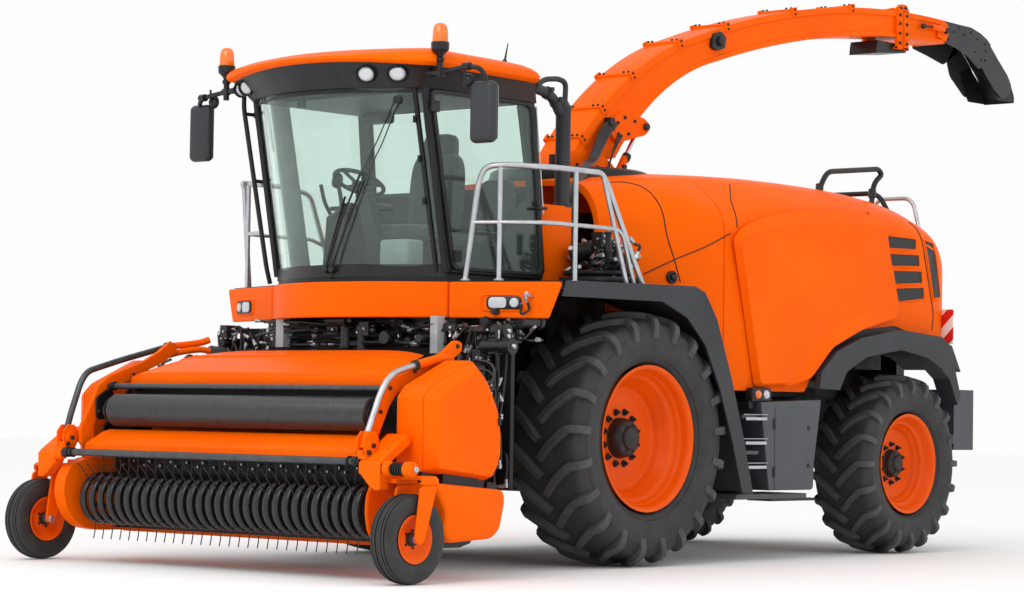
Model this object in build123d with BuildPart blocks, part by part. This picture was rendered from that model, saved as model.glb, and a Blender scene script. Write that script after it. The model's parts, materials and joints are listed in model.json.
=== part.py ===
from build123d import *
from math import atan2, cos, hypot, radians, sin
import os

# A self-propelled forage harvester with a pick-up header. Millimetres; X points to the machine's
# left, Y rearwards and Z up. Everything is drawn with the front axle above y = 0, and finish()
# moves it so that the origin is on the ground under the middle of the machine.

# ---- Driving dimensions ------------------------------------------------------------------------
middle_y = 2002             # the middle of the machine, measured back from the front axle
wheelbase = 3650

drive_radius, drive_width, drive_rim, drive_x = 960, 690, 533, 1160
steer_radius, steer_width, steer_rim, steer_x = 758, 560, 405, 1145
gauge_radius, gauge_width, gauge_rim, gauge_x, gauge_y = 300, 165, 150, 1855, -3058

kingpin_x = 780
rail_inner, rail_outer, rail_low, rail_high = 260, 360, 950, 1250
frame_front, frame_rear = -780, 4680

deck_high, deck_thick = 2080, 60
deck_side, deck_rear = 1530, 430
band_low, band_high, band_thick = 1810, 2070, 40
band_in = (900, -1650)      # inner front corner of the side bands, seen from above
band_out = (1700, -1350)    # their outer corner
band_bow = -2010            # how far forward the middle band bows

cab_side, cab_floor_low, cab_floor_high = 860, 2080, 2140
cab_ceiling, cab_roof_low, cab_roof_high = 3450, 3595, 3795
cab_front, cab_front_top = -1620, -1880     # windscreen corners at the floor and at the ceiling
cab_bow = 330                               # how far the windscreen bows in front of its corners
cab_rear, cab_rear_top = -560, -700
roof_rear = -980                            # the roof's rear edge before its overhang
glass_thick = 8

reel_y, reel_z = -3020, 480
band_radius, band_pitch, band_count = 240, 95, 31
header_half = 1465
press_pivot = (-2170, 1595)
feeder_pivot = (-900, 950)

hood_half, hood_skin = 1360, 20
flap_out, flap_in = 1410, 1368
flap_hinge = (1400, 2862)

spout_turn_y = 780
spout_pivot = (550, 3080)
spout_half, spout_wall = 165, 10
spout_end = 6070
deflector_pivot, tip_pivot = (6100, 4800), (6810, 4745)
ram_x, ram_foot, ram_head = 115, (1120, 2900), (1510, 3487)     # the spout's lift ram
lift_x, lift_foot, lift_head = 520, (-640, 640), (-1800, 520)   # the header's lift rams

os.makedirs("parts", exist_ok=True)


# ---- Helpers -----------------------------------------------------------------------------------
def finish(piece, label):
    # Names a finished sub-part, moves it over the origin and writes it
    placed = piece.moved(Location((0, -middle_y, 0)))
    placed.label = label
    export_step(placed, f"parts/{label}.step")
    print(label, len(placed.solids()), "solids", round(placed.volume / 1e9, 4), "m3", flush=True)


def side(x):
    # The plane seen from the machine's left, at x: drawn in (y, z), pushed out to the left
    return Plane.YZ.offset(x)


def across(y):
    # The plane seen from behind, at y: drawn in (x, z) mirrored, pushed out to the front
    return Plane.XZ.offset(-y)


def level(z):
    return Plane.XY.offset(z)


def axle_plane(y, z):
    # A plane through a wheel's axle, drawn in (x along the axle, radius)
    return Plane(origin=(0, y, z), x_dir=(1, 0, 0), z_dir=(0, -1, 0))


def tube(points, radius, bend):
    # A round bar along a path whose corners are bent to one radius
    with BuildPart() as bar:
        with BuildLine():
            path = FilletPolyline(*points, radius=bend)
        with BuildSketch(Plane(origin=path @ 0, z_dir=path % 0)):
            Circle(radius)
        sweep()
    return bar.part


def rod(start, end, radius):
    # A straight round bar between two points
    with BuildPart() as bar:
        length = (Vector(*end) - Vector(*start)).length
        with BuildSketch(Plane(origin=start, z_dir=Vector(*end) - Vector(*start))):
            Circle(radius)
        extrude(amount=length)
    return bar.part


def block(low, high):
    # An upright box between two corners
    with BuildPart() as box:
        with BuildSketch(level(low[2])):
            Polygon((low[0], low[1]), (high[0], low[1]), (high[0], high[1]), (low[0], high[1]),
                    align=None)
        extrude(amount=high[2] - low[2])
    return box.part


def slab(outline, plane, depth):
    # A flat outline pushed out from its plane
    with BuildPart() as plate:
        with BuildSketch(plane):
            Polygon(*outline, align=None)
        extrude(amount=depth)
    return plate.part


def outwards(x, depth, out):
    # The start and the depth of something mirrored to the machine's left (1) or right (-1)
    return side(out * x), out * depth


# ---- Wheels ------------------------------------------------------------------------------------
def tyre_solid(y, x, radius, width, rim):
    # A tyre's section, turned about the axle: beads, bulging walls and a slightly crowned tread
    bead, wall, tread, seat = width * 0.365, width * 0.5, width * 0.46, rim + 26
    shoulder = radius - width * 0.05
    with BuildPart() as tyre:
        with BuildSketch(axle_plane(y, radius)):
            with BuildLine():
                Polyline((x - bead, seat), (x - bead, rim), (x + bead, rim), (x + bead, seat))
                ThreePointArc((x + bead, seat), (x + wall, (rim + radius) / 2), (x + tread, shoulder))
                ThreePointArc((x + tread, shoulder), (x, radius), (x - tread, shoulder))
                ThreePointArc((x - tread, shoulder), (x - wall, (rim + radius) / 2), (x - bead, seat))
            make_face()
        revolve(axis=Axis((0, y, radius), (1, 0, 0)))
    return tyre.part


def rim_solid(y, z, x, out, *sections):
    # Sections as (distance outwards from the wheel's middle, radius), turned about the axle
    with BuildPart() as rim:
        with BuildSketch(axle_plane(y, z)):
            for section in sections:
                Polygon(*[(x + out * reach, radius) for reach, radius in section], align=None)
        revolve(axis=Axis((0, y, z), (1, 0, 0)))
    return rim.part


# Rim sections: (outwards, radius), up the disc, out to the flange, back over the tyre's side to the
# inner flange and home along the inside
drive_section = [(22, 90), (22, 385), (70, 405), (150, 448), (200, 488), (262, 508), (300, 550), (286, 552),
                 (262, 531), (225, 526), (180, 500), (130, 466), (60, 424), (-20, 420), (-130, 492),
                 (-180, 526), (-262, 531), (-286, 552), (-300, 550), (-268, 512), (-185, 508), (-140, 478),
                 (-20, 400), (0, 385), (0, 90)]
steer_section = [(60, 70), (60, 292), (90, 304), (150, 335), (185, 372), (214, 384), (245, 420), (234, 422),
                 (214, 403), (180, 398), (140, 352), (60, 322), (0, 330), (-80, 396), (-214, 403),
                 (-234, 422), (-245, 420), (-216, 386), (-90, 380), (-10, 312), (40, 300), (40, 70)]
gauge_section = [(17, 30), (17, 92), (60, 125), (72, 163), (65, 166), (61.5, 149), (-61.5, 149), (-65, 166),
                 (-72, 163), (-66, 138), (0, 128), (5, 95), (5, 30)]
# Hub sections: a flange behind the disc, a drum in front of it and a smaller cap
drive_hub = [(-34, 0), (-34, 200), (5, 200), (17, 175), (60, 175), (75, 120), (170, 112), (190, 96), (190, 0)]
steer_hub = [(10, 0), (10, 150), (45, 150), (55, 130), (80, 125), (90, 85), (150, 80), (162, 68), (162, 0)]

for name, out in (("left", 1), ("right", -1)):
    x = out * drive_x
    finish(tyre_solid(0, x, drive_radius, drive_width, drive_rim), f"front_tyre_{name}")
    finish(rim_solid(0, drive_radius, x, out, drive_section, drive_hub), f"front_rim_{name}")
    x = out * steer_x
    finish(tyre_solid(wheelbase, x, steer_radius, steer_width, steer_rim), f"rear_tyre_{name}")
    finish(rim_solid(wheelbase, steer_radius, x, out, steer_section, steer_hub), f"rear_rim_{name}")
    with BuildPart() as gauge_wheel:
        add(tyre_solid(gauge_y, out * gauge_x, gauge_radius, gauge_width, gauge_rim))
        add(rim_solid(gauge_y, gauge_radius, out * gauge_x, out, gauge_section))
    finish(gauge_wheel.part, f"gauge_wheel_{name}")

# ---- Chassis: frame, axles, engine and machinery ------------------------------------------------
with BuildPart() as frame_rails:
    for out in (1, -1):
        add(block((min(out * rail_inner, out * rail_outer), frame_front, rail_low),
                  (max(out * rail_inner, out * rail_outer), frame_rear, rail_high)))
    # Cross members: (front, rear, low, high)
    for front, rear, low, high in ((-780, -700, 990, 1210), (300, 380, 990, 1210),
                                   (1500, 1600, 990, 1210), (3000, 3100, 1060, 1210),
                                   (4600, 4680, 990, 1210)):
        add(block((-rail_inner, front, low), (rail_inner, rear, high)))
    # Outriggers that carry the hood and the toolboxes: (front, rear, low, high, reach)
    for front, rear, low, high, reach in ((1500, 1580, 1150, 1235, 1300), (2100, 2180, 1150, 1235, 1300)):
        for out in (1, -1):
            add(block((min(out * rail_outer, out * reach), front, low),
                      (max(out * rail_outer, out * reach), rear, high)))
    for out in (1, -1):
        # Lugs with the header's pivot pins, and the feet of its lift rams
        plane, depth = outwards(440, 40, out)
        with BuildSketch(plane):
            Polygon((-980, 880), (-740, 880), (-740, 1060), (-900, 1040), (-980, 1000), align=None)
        extrude(amount=depth)
        add(block((min(out * rail_outer, out * 480), frame_front, rail_low),
                  (max(out * rail_outer, out * 480), -720, 1060)))
        add(rod((out * 402, *feeder_pivot), (out * 480, *feeder_pivot), 30))
        plane, depth = outwards(rail_outer, 105, out)
        with BuildSketch(plane):
            Polygon((-760, 960), (-620, 960), (-560, 700), (-620, 560), (-700, 560), (-760, 640), align=None)
        extrude(amount=depth)
        add(rod((out * 464, *lift_foot), (out * 545, *lift_foot), 22))
finish(frame_rails.part, "frame_rails")

with BuildPart() as front_axle:
    add(rod((-620, 0, drive_radius - 160), (620, 0, drive_radius - 160), 125))
    for out in (1, -1):
        add(rod((out * 600, 0, drive_radius), (out * 1115, 0, drive_radius), 195))
        add(block((min(out * 240, out * 380), -170, drive_radius - 160),
                  (max(out * 240, out * 380), 170, rail_low)))
finish(front_axle.part, "front_axle")

with BuildPart() as rear_axle:
    with BuildSketch(across(wheelbase + 75)):
        Polygon((-705, 700), (705, 700), (705, 820), (400, 870), (120, 945), (-120, 945), (-400, 870),
                (-705, 820), align=None)
    extrude(amount=150)
    add(block((-730, wheelbase - 55, 700), (730, wheelbase + 55, 820)))
    for out in (1, -1):
        add(rod((out * kingpin_x, wheelbase, 640), (out * kingpin_x, wheelbase, 880), 75))
        add(rod((out * kingpin_x, wheelbase, 630), (out * kingpin_x, wheelbase, 890), 31),
            mode=Mode.SUBTRACT)
    add(block((-80, wheelbase - 75, 900), (80, wheelbase + 75, 1060)))
    add(block((-rail_inner, wheelbase - 60, 1060), (rail_inner, wheelbase + 60, 1180)))
finish(rear_axle.part, "rear_axle")

for name, out in (("left", 1), ("right", -1)):
    with BuildPart() as knuckle:
        # A fork over the axle's end with the king pin through it, and the spindle outside
        for low, high in ((575, 632), (888, 945)):
            add(block((min(out * 700, out * 890), wheelbase - 70, low),
                      (max(out * 700, out * 890), wheelbase + 70, high)))
        add(block((min(out * 862, out * 890), wheelbase - 110, 575),
                  (max(out * 862, out * 890), wheelbase + 110, 945)))
        add(rod((out * kingpin_x, wheelbase, 600), (out * kingpin_x, wheelbase, 920), 30))
        add(rod((out * 885, wheelbase, steer_radius), (out * 1149, wheelbase, steer_radius), 70))
    finish(knuckle.part, f"rear_knuckle_{name}")

with BuildPart() as engine_block:
    add(block((-560, 2450, 1310), (560, 3450, 2250)))
    # The cooling pack behind it
    add(block((-800, 3700, 1560), (800, 4100, 2600)))
finish(engine_block.part, "engine_block")

with BuildPart() as crop_channel:
    # The chopping unit's housing with its mouth, and the tower that leads up to the spout
    with BuildSketch(side(-560)):
        Polygon((-760, 1260), (-760, 1980), (-150, 1980), (-150, 1260), align=None)
    extrude(amount=1120)
    add(block((-250, -690, 560), (250, -180, 1260)))
    add(block((-240, 400, 560), (240, 1180, 1900)))
    with BuildSketch(Plane(origin=(0, spout_turn_y, 1900))):
        Circle(300)
    extrude(amount=810)
finish(crop_channel.part, "crop_channel")

with BuildPart() as rear_bumper:
    with BuildSketch(level(870)):
        with BuildLine():
            Polyline((-1180, 4690), (1180, 4690), (1180, 5010), (1120, 5070), (-1120, 5070),
                     (-1180, 5010), close=True)
        make_face()
    extrude(amount=530)
    # The drawbar jaw with its pin hole
    add(block((-60, 5070, 940), (60, 5210, 975)))
    add(block((-60, 5070, 1035), (60, 5210, 1070)))
    with Locations((0, 5160, 1070)):
        Hole(19, depth=200)
finish(rear_bumper.part, "rear_bumper")

# ---- Platform ----------------------------------------------------------------------------------
band_run = hypot(band_out[0] - band_in[0], band_out[1] - band_in[1])
deck_corner = (band_out[0] - 25, band_out[1] + band_thick + 4)
deck_inner = (band_in[0], band_in[1] + band_thick + 8)

with BuildPart() as platform_deck:
    with BuildSketch(level(deck_high - deck_thick)):
        with BuildLine():
            ThreePointArc((-deck_inner[0], deck_inner[1]), (0, band_bow + band_thick + 4), deck_inner)
            Polyline(deck_inner, deck_corner, (deck_corner[0], -1290), (deck_side, -1155),
                     (deck_side, deck_rear), (860, deck_rear), (860, 20), (320, 20), (320, 60),
                     (-320, 60), (-320, 20), (-860, 20), (-860, deck_rear), (-deck_side, deck_rear),
                     (-deck_side, -1155), (-deck_corner[0], -1290), (-deck_corner[0], deck_corner[1]),
                     (-deck_inner[0], deck_inner[1]))
        make_face()
    extrude(amount=deck_thick)
finish(platform_deck.part, "platform_deck")

with BuildPart() as front_panels:
    with BuildSketch(level(band_low)):
        with BuildLine():
            ThreePointArc((-892, band_in[1]), (0, band_bow), (892, band_in[1]))
            Line((892, band_in[1]), (892, band_in[1] + band_thick))
            ThreePointArc((892, band_in[1] + band_thick), (0, band_bow + band_thick),
                          (-892, band_in[1] + band_thick))
            Line((-892, band_in[1] + band_thick), (-892, band_in[1]))
        make_face()
    extrude(amount=band_high - band_low)
    for out in (1, -1):
        run_x, run_y = out * (band_out[0] - band_in[0]), band_out[1] - band_in[1]
        panel = Plane(origin=(out * band_in[0], band_in[1], 0), x_dir=(run_x, run_y, 0),
                      z_dir=(run_y, -run_x, 0))
        with BuildSketch(panel):
            Polygon((8, band_low), (band_run - 90, band_low), (band_run, band_high - 30),
                    (band_run, band_high), (8, band_high), align=None)
        extrude(amount=-out * band_thick)
finish(front_panels.part, "front_panels")

with BuildPart() as platform_frame:
    # Bearers under the deck and the uprights that stand on the chopping unit's sides
    for out in (1, -1):
        add(block((min(out * 400, out * 460), -1600, 1900), (max(out * 400, out * 460), -765, 2018)))
        add(block((min(out * 655, out * 1500), -1345, 1940), (max(out * 655, out * 1500), -1270, 2018)))
        add(block((min(out * 562, out * 660), -1380, 1560), (max(out * 562, out * 660), -1330, 2018)))
        add(block((min(out * 562, out * 640), -1335, 1560), (max(out * 562, out * 640), -700, 1640)))
finish(platform_frame.part, "platform_frame")

with BuildPart() as handrails:
    top, middle, foot = 2900, 2500, deck_high + 10
    # The right-hand rail stands further out: (side, x, front corner, front post's x and y)
    for out, x, corner, post_x, post_y in ((1, 1500, -1270, 1210, -1452), (-1, 1545, -1375, 1490, -1350)):
        add(tube([(out * 965, -1540, foot), (out * 1070, -1515, top), (out * 1230, -1450, top),
                  (out * x, corner, top), (out * x, -620, top), (out * 1500, -150, foot)], 20, 90))
        add(tube([(out * 1018, -1528, middle), (out * 1240, -1442, middle), (out * x, corner + 20, middle),
                  (out * x, -430, middle), (out * 1500, -255, foot)], 16, 70))
        add(rod((out * post_x, post_y, foot), (out * post_x, post_y, top), 14))
        add(rod((out * 1500, -950, foot), (out * x, -950, top), 14))
        add(rod((out * x, -590, top - 15), (out * 1500, -345, foot), 14))
        # The brace of the hoop that the lowered spout rests on
        add(rod((out * 300, 4560, 3050), (out * 300, 4200, 2985), 18))
    add(tube([(-300, 4560, 2800), (-300, 4560, 3330), (300, 4560, 3330), (300, 4560, 2800)], 24, 90))
    # The bars beside the cab's right front corner
    for foot_y, head_y in ((-1640, -1940), (-1520, -1800)):
        add(rod((-955, foot_y, foot), (-955, head_y, cab_ceiling + 20), 16))
    for y, z in ((-1690, 2550), (-1830, 3200)):
        add(rod((-955, y - 60, z), (-955, y + 120, z), 12))
        add(rod((-872, y + 40, z), (-950, y + 40, z), 12))
finish(handrails.part, "handrails")

# ---- Fenders, steps and toolboxes ---------------------------------------------------------------
# Side outlines of the front fender, (y, z): outside from the front over the top to the foot of
# the leg, and inside back again
fender_outer = [(-1090, 2095), (430, 2118), (560, 2075), (715, 1873), (915, 1416), (1080, 954), (1207, 534)]
fender_inner = [(1063, 551), (925, 953), (765, 1337), (565, 1677), (335, 1875), (30, 1985), (-1147, 1978)]
arch_inner = [(1160, 551), (1035, 953), (895, 1400), (680, 1740), (400, 1935), (60, 2008), (-1120, 2010)]

with BuildPart() as front_fenders:
    for out in (1, -1):
        with BuildSketch(side(out * 1548)):
            Polygon(*(fender_outer + fender_inner), align=None)
        extrude(amount=-out * 16)
        with BuildSketch(side(out * 1532)):
            Polygon((450, 2118), *fender_outer[2:], *arch_inner[:-2], (60, deck_high - 66),
                    (450, deck_high - 66), align=None)
        extrude(amount=-out * 652)
finish(front_fenders.part, "front_fenders")

with BuildPart() as toolboxes:
    for out in (1, -1):
        with BuildSketch(side(out * 1450)):
            Polygon((1430, 1250), (2250, 1280), (2250, 1240), (2125, 556), (1550, 556), align=None)
        extrude(amount=-out * 900)
        for front, rear in ((1495, 1585), (2095, 2185)):
            add(block((min(out * 540, out * 1310), front, 1145), (max(out * 540, out * 1310), rear, 1240)),
                mode=Mode.SUBTRACT)
        # The steps in front of them
        add(block((min(out * 1000, out * 1440), 1130, 488), (max(out * 1000, out * 1440), 2080, 530)))
        add(block((min(out * 960, out * 1000), 1330, 488), (max(out * 960, out * 1000), 1420, 1150)))
        for front, rear, z in ((1240, 1420, 840), (1200, 1400, 1120)):
            add(block((min(out * 1000, out * 1440), front, z), (max(out * 1000, out * 1440), rear, z + 30)))
finish(toolboxes.part, "toolboxes")

with BuildPart() as rear_fenders:
    for out in (1, -1):
        with BuildSketch(side(out * 1470)):
            Polygon((2205, 1372), (2235, 1505), (2445, 1672), (2805, 1797), (3400, 1882), (4025, 1842),
                    (4200, 1745), (4200, 1590), (4060, 1560), (3792, 1660), (3404, 1714),
                    (2881, 1642), (2592, 1512), (2494, 1364), align=None)
        extrude(amount=-out * 60)
        with BuildSketch(side(out * 1410)):
            Polygon((2240, 1430), (2450, 1650), (2810, 1775), (3400, 1860), (4020, 1820), (4200, 1730),
                    (4120, 1560), (3900, 1660), (3404, 1735), (2881, 1665), (2580, 1535), (2480, 1380),
                    align=None)
        extrude(amount=-out * 380)
        # The rear leg turns in behind the tyre
        with BuildSketch(side(out * 1410)):
            Polygon((4100, 1800), (4270, 1740), (4430, 1340), (4378, 1262), (4250, 1485), (4120, 1560),
                    align=None)
        extrude(amount=-out * 170)
finish(rear_fenders.part, "rear_fenders")

# ---- Hood --------------------------------------------------------------------------------------
# Sections of the hood, front to rear: (y, half width, shoulder height, top half width, top height)
hood_sections = [
    (50, 900, 2700, 760, 2950),
    (700, 1215, 2790, 930, 3035),
    (1250, 1345, 2700, 1010, 3075),
    (2050, hood_half, 2830, 1020, 3100),
    (3150, hood_half, 2850, 1000, 3085),
    (3950, hood_half, 2740, 940, 3020),
    (4300, 1290, 2600, 860, 2930),
    (4620, 1040, 2400, 700, 2740),
]


def hood_solid(inset):
    # The hood's outside drawn in by an inset, down to its lower edge
    with BuildPart() as solid:
        for y, half, shoulder, top_half, top in hood_sections:
            with BuildSketch(across(y)):
                Polygon((-half + inset, 1340), (half - inset, 1340), (half - inset, shoulder),
                        (top_half - inset, top - inset), (-top_half + inset, top - inset),
                        (-half + inset, shoulder), align=None)
        loft(ruled=True)
    return solid.part


hood_outside = hood_solid(0)
hood_inside = hood_solid(hood_skin)
fender_clear = slab([(-200, 2090), (440, 2090), (440, 2150), (575, 2100), (735, 1885), (935, 1425),
                     (1100, 960), (1100, 1300), (-200, 1300)], side(-1700), 3400)
spout_recess = block((-700, 0, 1300), (700, 1450, 3300))

with BuildPart() as hood_shell:
    add(hood_outside)
    add(hood_inside, mode=Mode.SUBTRACT)
    add(fender_clear, mode=Mode.SUBTRACT)
    add(spout_recess, mode=Mode.SUBTRACT)
    # The openings behind the side flaps
    with BuildSketch(side(-1500)):
        Polygon((1560, 1460), (1300, 2440), (2060, 2700), (3120, 2740), (3330, 2080), (2800, 1900),
                (2380, 1740), (2060, 1460), align=None)
    extrude(amount=3000, mode=Mode.SUBTRACT)
    # Room for the rear fenders
    with BuildSketch(side(-1500)):
        Polygon((2180, 1300), (2220, 1515), (2440, 1690), (2800, 1815), (3400, 1900), (4030, 1860),
                (4245, 1750), (4700, 1750), (4700, 1300), align=None)
    extrude(amount=3000, mode=Mode.SUBTRACT)

with BuildPart() as hood_front:
    add(hood_shell.part)
    with BuildSketch(side(-1500)):
        Polygon((-200, 1960), (360, 2235), (610, 2345), (1134, 2515), (1030, 3400), (-200, 3400), align=None)
    extrude(amount=3000, mode=Mode.INTERSECT)
with BuildPart() as side_panels:
    # The panels below the front hood, a seam apart from it
    add(hood_shell.part)
    with BuildSketch(side(-1500)):
        Polygon((-200, 1300), (-200, 1952), (364, 2227), (614, 2337), (1136, 2507), (1262, 2050),
                (1432, 1340), (1432, 1300), align=None)
    extrude(amount=3000, mode=Mode.INTERSECT)

with BuildPart() as front_covers:
    add(hood_front.part)
    add(side_panels.part)
finish(front_covers.part, "hood_front")

with BuildPart() as hood_rear:
    add(hood_shell.part)
    with BuildSketch(side(-1500)):
        Polygon((1142, 2515), (1038, 3400), (5000, 3400), (5000, 1300), (1440, 1300), (1440, 1340),
                (1270, 2050), align=None)
    extrude(amount=3000, mode=Mode.INTERSECT)
    # The rear wall
    with BuildSketch(across(4640)):
        Polygon((-1040, 1760), (1040, 1760), (1040, 2400), (700, 2740), (-700, 2740), (-1040, 2400),
                align=None)
    extrude(amount=20)
    # The louvred corner panels behind the flaps
    for out in (1, -1):
        with BuildSketch(side(out * (flap_in - 12))):
            Polygon((3232, 2836), (3900, 2700), (4060, 2300), (4170, 1870), (4040, 1985), (3465, 1985),
                    (3440, 2140), (3320, 2470), align=None)
        extrude(amount=out * (flap_out - flap_in + 12))
        for slot in range(4):
            with BuildSketch(side(out * (flap_in - 40))):
                with Locations((3520 + 40 * slot, 2620 - 145 * slot)):
                    Rectangle(400, 80)
            extrude(amount=out * 100, mode=Mode.SUBTRACT)
finish(hood_rear.part, "hood_rear")

flap_outline = [(1450, 1365), (1275, 2060), (1150, 2530), (1283, 2632), (1616, 2740), (2030, 2802),
                (2600, 2834), (3225, 2836), (3310, 2470), (3430, 2140), (3455, 1990), (2848, 1868),
                (2417, 1710), (2120, 1450), (1880, 1385)]
for name, out in (("left", 1), ("right", -1)):
    with BuildPart() as side_flap:
        with BuildSketch(side(out * flap_in)):
            Polygon(*flap_outline, align=None)
        extrude(amount=out * (flap_out - flap_in))
    finish(side_flap.part, f"side_flap_{name}")

with BuildPart() as service_box:
    for out in (1, -1):
        add(block((min(out * 330, out * 850), -540, deck_high), (max(out * 330, out * 850), -10, 2720)))
    # The air pipe up to the roof
    add(tube([(795, -270, 2700), (795, -270, 3560), (795, -462, 3670)], 48, 85))
finish(service_box.part, "service_boxes")

# ---- Cab ---------------------------------------------------------------------------------------
def cab_outline(front, bow, rear, grow):
    # The cab's outline from above: a bowed front between two corners and a straight rear
    half = cab_side + grow
    with BuildLine() as outline:
        ThreePointArc((-half, front - grow), (0, front - bow - grow), (half, front - grow))
        Polyline((half, front - grow), (half, rear + grow), (-half, rear + grow), (-half, front - grow))
    return outline


with BuildPart() as cab_floor:
    with BuildSketch(level(cab_floor_low)):
        add(make_face(cab_outline(cab_front, cab_bow, cab_rear, 0).line.edges()))
    extrude(amount=cab_floor_high - cab_floor_low)
    # The lower rear wall
    with BuildSketch(side(-785)):
        Polygon((cab_rear - 40, cab_floor_high - 5), (cab_rear - 2, cab_floor_high - 5),
                (cab_rear - 2, cab_floor_high), (cab_rear - 67, 2788), (cab_rear - 105, 2788),
                (cab_rear - 40, cab_floor_high), align=None)
    extrude(amount=1570)
finish(cab_floor.part, "cab_floor")

with BuildPart() as cab_roof:
    # Roof sections: (height, growth past the cab)
    for z, grow in ((cab_roof_low, 165), (cab_roof_low + 45, 200), (cab_roof_low + 115, 165),
                    (cab_roof_high - 30, 60), (cab_roof_high, -220)):
        with BuildSketch(level(z)):
            add(make_face(cab_outline(cab_front_top + 35, cab_bow * 0.8, roof_rear, grow).line.edges()))
    loft(ruled=True)
finish(cab_roof.part, "cab_roof")

with BuildPart() as cab_frame:
    # The header round the ceiling
    with BuildSketch(level(cab_ceiling)):
        add(make_face(cab_outline(cab_front_top, cab_bow, cab_rear_top, 30).line.edges()))
    extrude(amount=cab_roof_low - cab_ceiling)
    # Pillars: (x, front at the floor, front at the ceiling, width, depth)
    for x, foot, head, width, depth in ((cab_side - 70, cab_front + 12, cab_front_top + 12, 62, 80),
                                        (-cab_side, cab_front + 12, cab_front_top + 12, 62, 80),
                                        (cab_side - 70, cab_rear - 90, cab_rear_top - 90, 70, 88),
                                        (-cab_side, cab_rear - 90, cab_rear_top - 90, 70, 88)):
        with BuildSketch(level(cab_floor_high)):
            Polygon((x, foot), (x + width, foot), (x + width, foot + depth), (x, foot + depth), align=None)
        with BuildSketch(level(cab_ceiling)):
            Polygon((x, head), (x + width, head), (x + width, head + depth), (x, head + depth), align=None)
        loft()
finish(cab_frame.part, "cab_frame")

with BuildPart() as cab_glazing:
    # The windscreen
    for z, front in ((cab_floor_high, cab_front), (cab_ceiling, cab_front_top)):
        half = cab_side - 4
        with BuildSketch(level(z)):
            with BuildLine():
                ThreePointArc((-half, front), (0, front - cab_bow + 4), (half, front))
                Line((half, front), (half, front + glass_thick))
                ThreePointArc((half, front + glass_thick), (0, front - cab_bow + 4 + glass_thick),
                              (-half, front + glass_thick))
                Line((-half, front + glass_thick), (-half, front))
            make_face()
    loft()
    # The right-hand side window and the rear window
    with BuildSketch(side(-cab_side + 6)):
        Polygon((cab_front + 95, cab_floor_high), (cab_front_top + 95, cab_ceiling),
                (cab_rear_top - 93, cab_ceiling), (cab_rear - 93, cab_floor_high), align=None)
    extrude(amount=glass_thick)
    with BuildSketch(Plane(origin=(0, cab_rear - 14, cab_floor_high), x_dir=(1, 0, 0),
                           z_dir=(0, -(cab_ceiling - cab_floor_high), cab_rear_top - cab_rear))):
        Polygon((-785, 660), (785, 660), (785, 1300), (-785, 1300), align=None)
    extrude(amount=glass_thick)
finish(cab_glazing.part, "cab_glazing")

door_outline = [(cab_front + 25, 2160), (cab_front_top + 15, 3440), (cab_rear_top - 12, 3440),
                (cab_rear - 12, 2160)]
door_window = [(-1500, 2240), (-1715, 3360), (-795, 3360), (-680, 2240)]
with BuildPart() as cab_door:
    with BuildSketch(side(cab_side)):
        Polygon(*door_outline, align=None)
        Polygon(*door_window, align=None, mode=Mode.SUBTRACT)
    extrude(amount=40)
    # The handle near the rear edge
    add(block((cab_side + 40, -700, 2640), (cab_side + 75, -600, 2680)))
finish(cab_door.part, "cab_door")

with BuildPart() as cab_door_glass:
    with BuildSketch(side(cab_side + 16)):
        Polygon(*door_window, align=None)
    extrude(amount=glass_thick)
finish(cab_door_glass.part, "cab_door_glass")

with BuildPart() as cab_interior:
    # The driver's seat and the smaller passenger seat: (middle, half width, front, height, back)
    for x, half, front, cushion, back in ((0, 260, -1365, 2410, 3140), (590, 170, -1120, 2400, 2900)):
        add(block((x - half * 0.7, front + 120, cab_floor_high), (x + half * 0.7, -720, cushion)))
        add(block((x - half, front, cushion), (x + half, -820, cushion + 130)))
        with BuildSketch(side(x - half)):
            Polygon((-870, cushion + 130), (-740, cushion + 130), (-715, back), (-800, back), align=None)
        extrude(amount=half * 2)
    # The steering column and its wheel
    with BuildSketch(side(-70)):
        Polygon((-1420, cab_floor_high), (-1300, cab_floor_high), (-1570, 2750), (-1640, 2750), align=None)
    extrude(amount=140)
    wheel_plane = Plane(origin=(0, -1655, 2820), x_dir=(1, 0, 0), z_dir=(0, 0.42, 0.91))
    add(rod((0, -1600, 2740), (0, -1655, 2820), 22))
    with BuildSketch(wheel_plane.offset(-8)):
        Circle(205)
        Circle(180, mode=Mode.SUBTRACT)
        Rectangle(375, 30)
        Circle(45)
    extrude(amount=22)
    # The armrest console with its joystick
    with BuildSketch(side(-560)):
        Polygon((-1500, cab_floor_high), (-1000, cab_floor_high), (-1000, 2640), (-1350, 2660), align=None)
    extrude(amount=230)
    add(rod((-450, -1330, 2650), (-450, -1380, 2800), 18))
    add(rod((-450, -1380, 2790), (-450, -1400, 2880), 34))
finish(cab_interior.part, "cab_interior")

with BuildPart() as mirrors:
    for out in (1, -1):
        add(tube([(out * 900, -1930, 3560), (out * 1390, -1965, 3585), (out * 1452, -1900, 3560),
                  (out * 1452, -1895, 3440)], 16, 40))
        add(block((min(out * 1350, out * 1545), -1930, 3030), (max(out * 1350, out * 1545), -1855, 3450)))
finish(mirrors.part, "mirrors")

# ---- Spout -------------------------------------------------------------------------------------
# Side outlines (y, z) of the spout's outer and inner walls, root to end: the start, a point on the
# way and the end of each arc
outer_arcs = [((500, 3080), (1168, 3785), (2200, 4322)), ((2200, 4322), (4050, 4778), (spout_end, 4898))]
inner_arcs = [((1150, 3215), (1706, 3768), (2500, 4140)), ((2500, 4140), (4200, 4535), (spout_end, 4680))]


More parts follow.
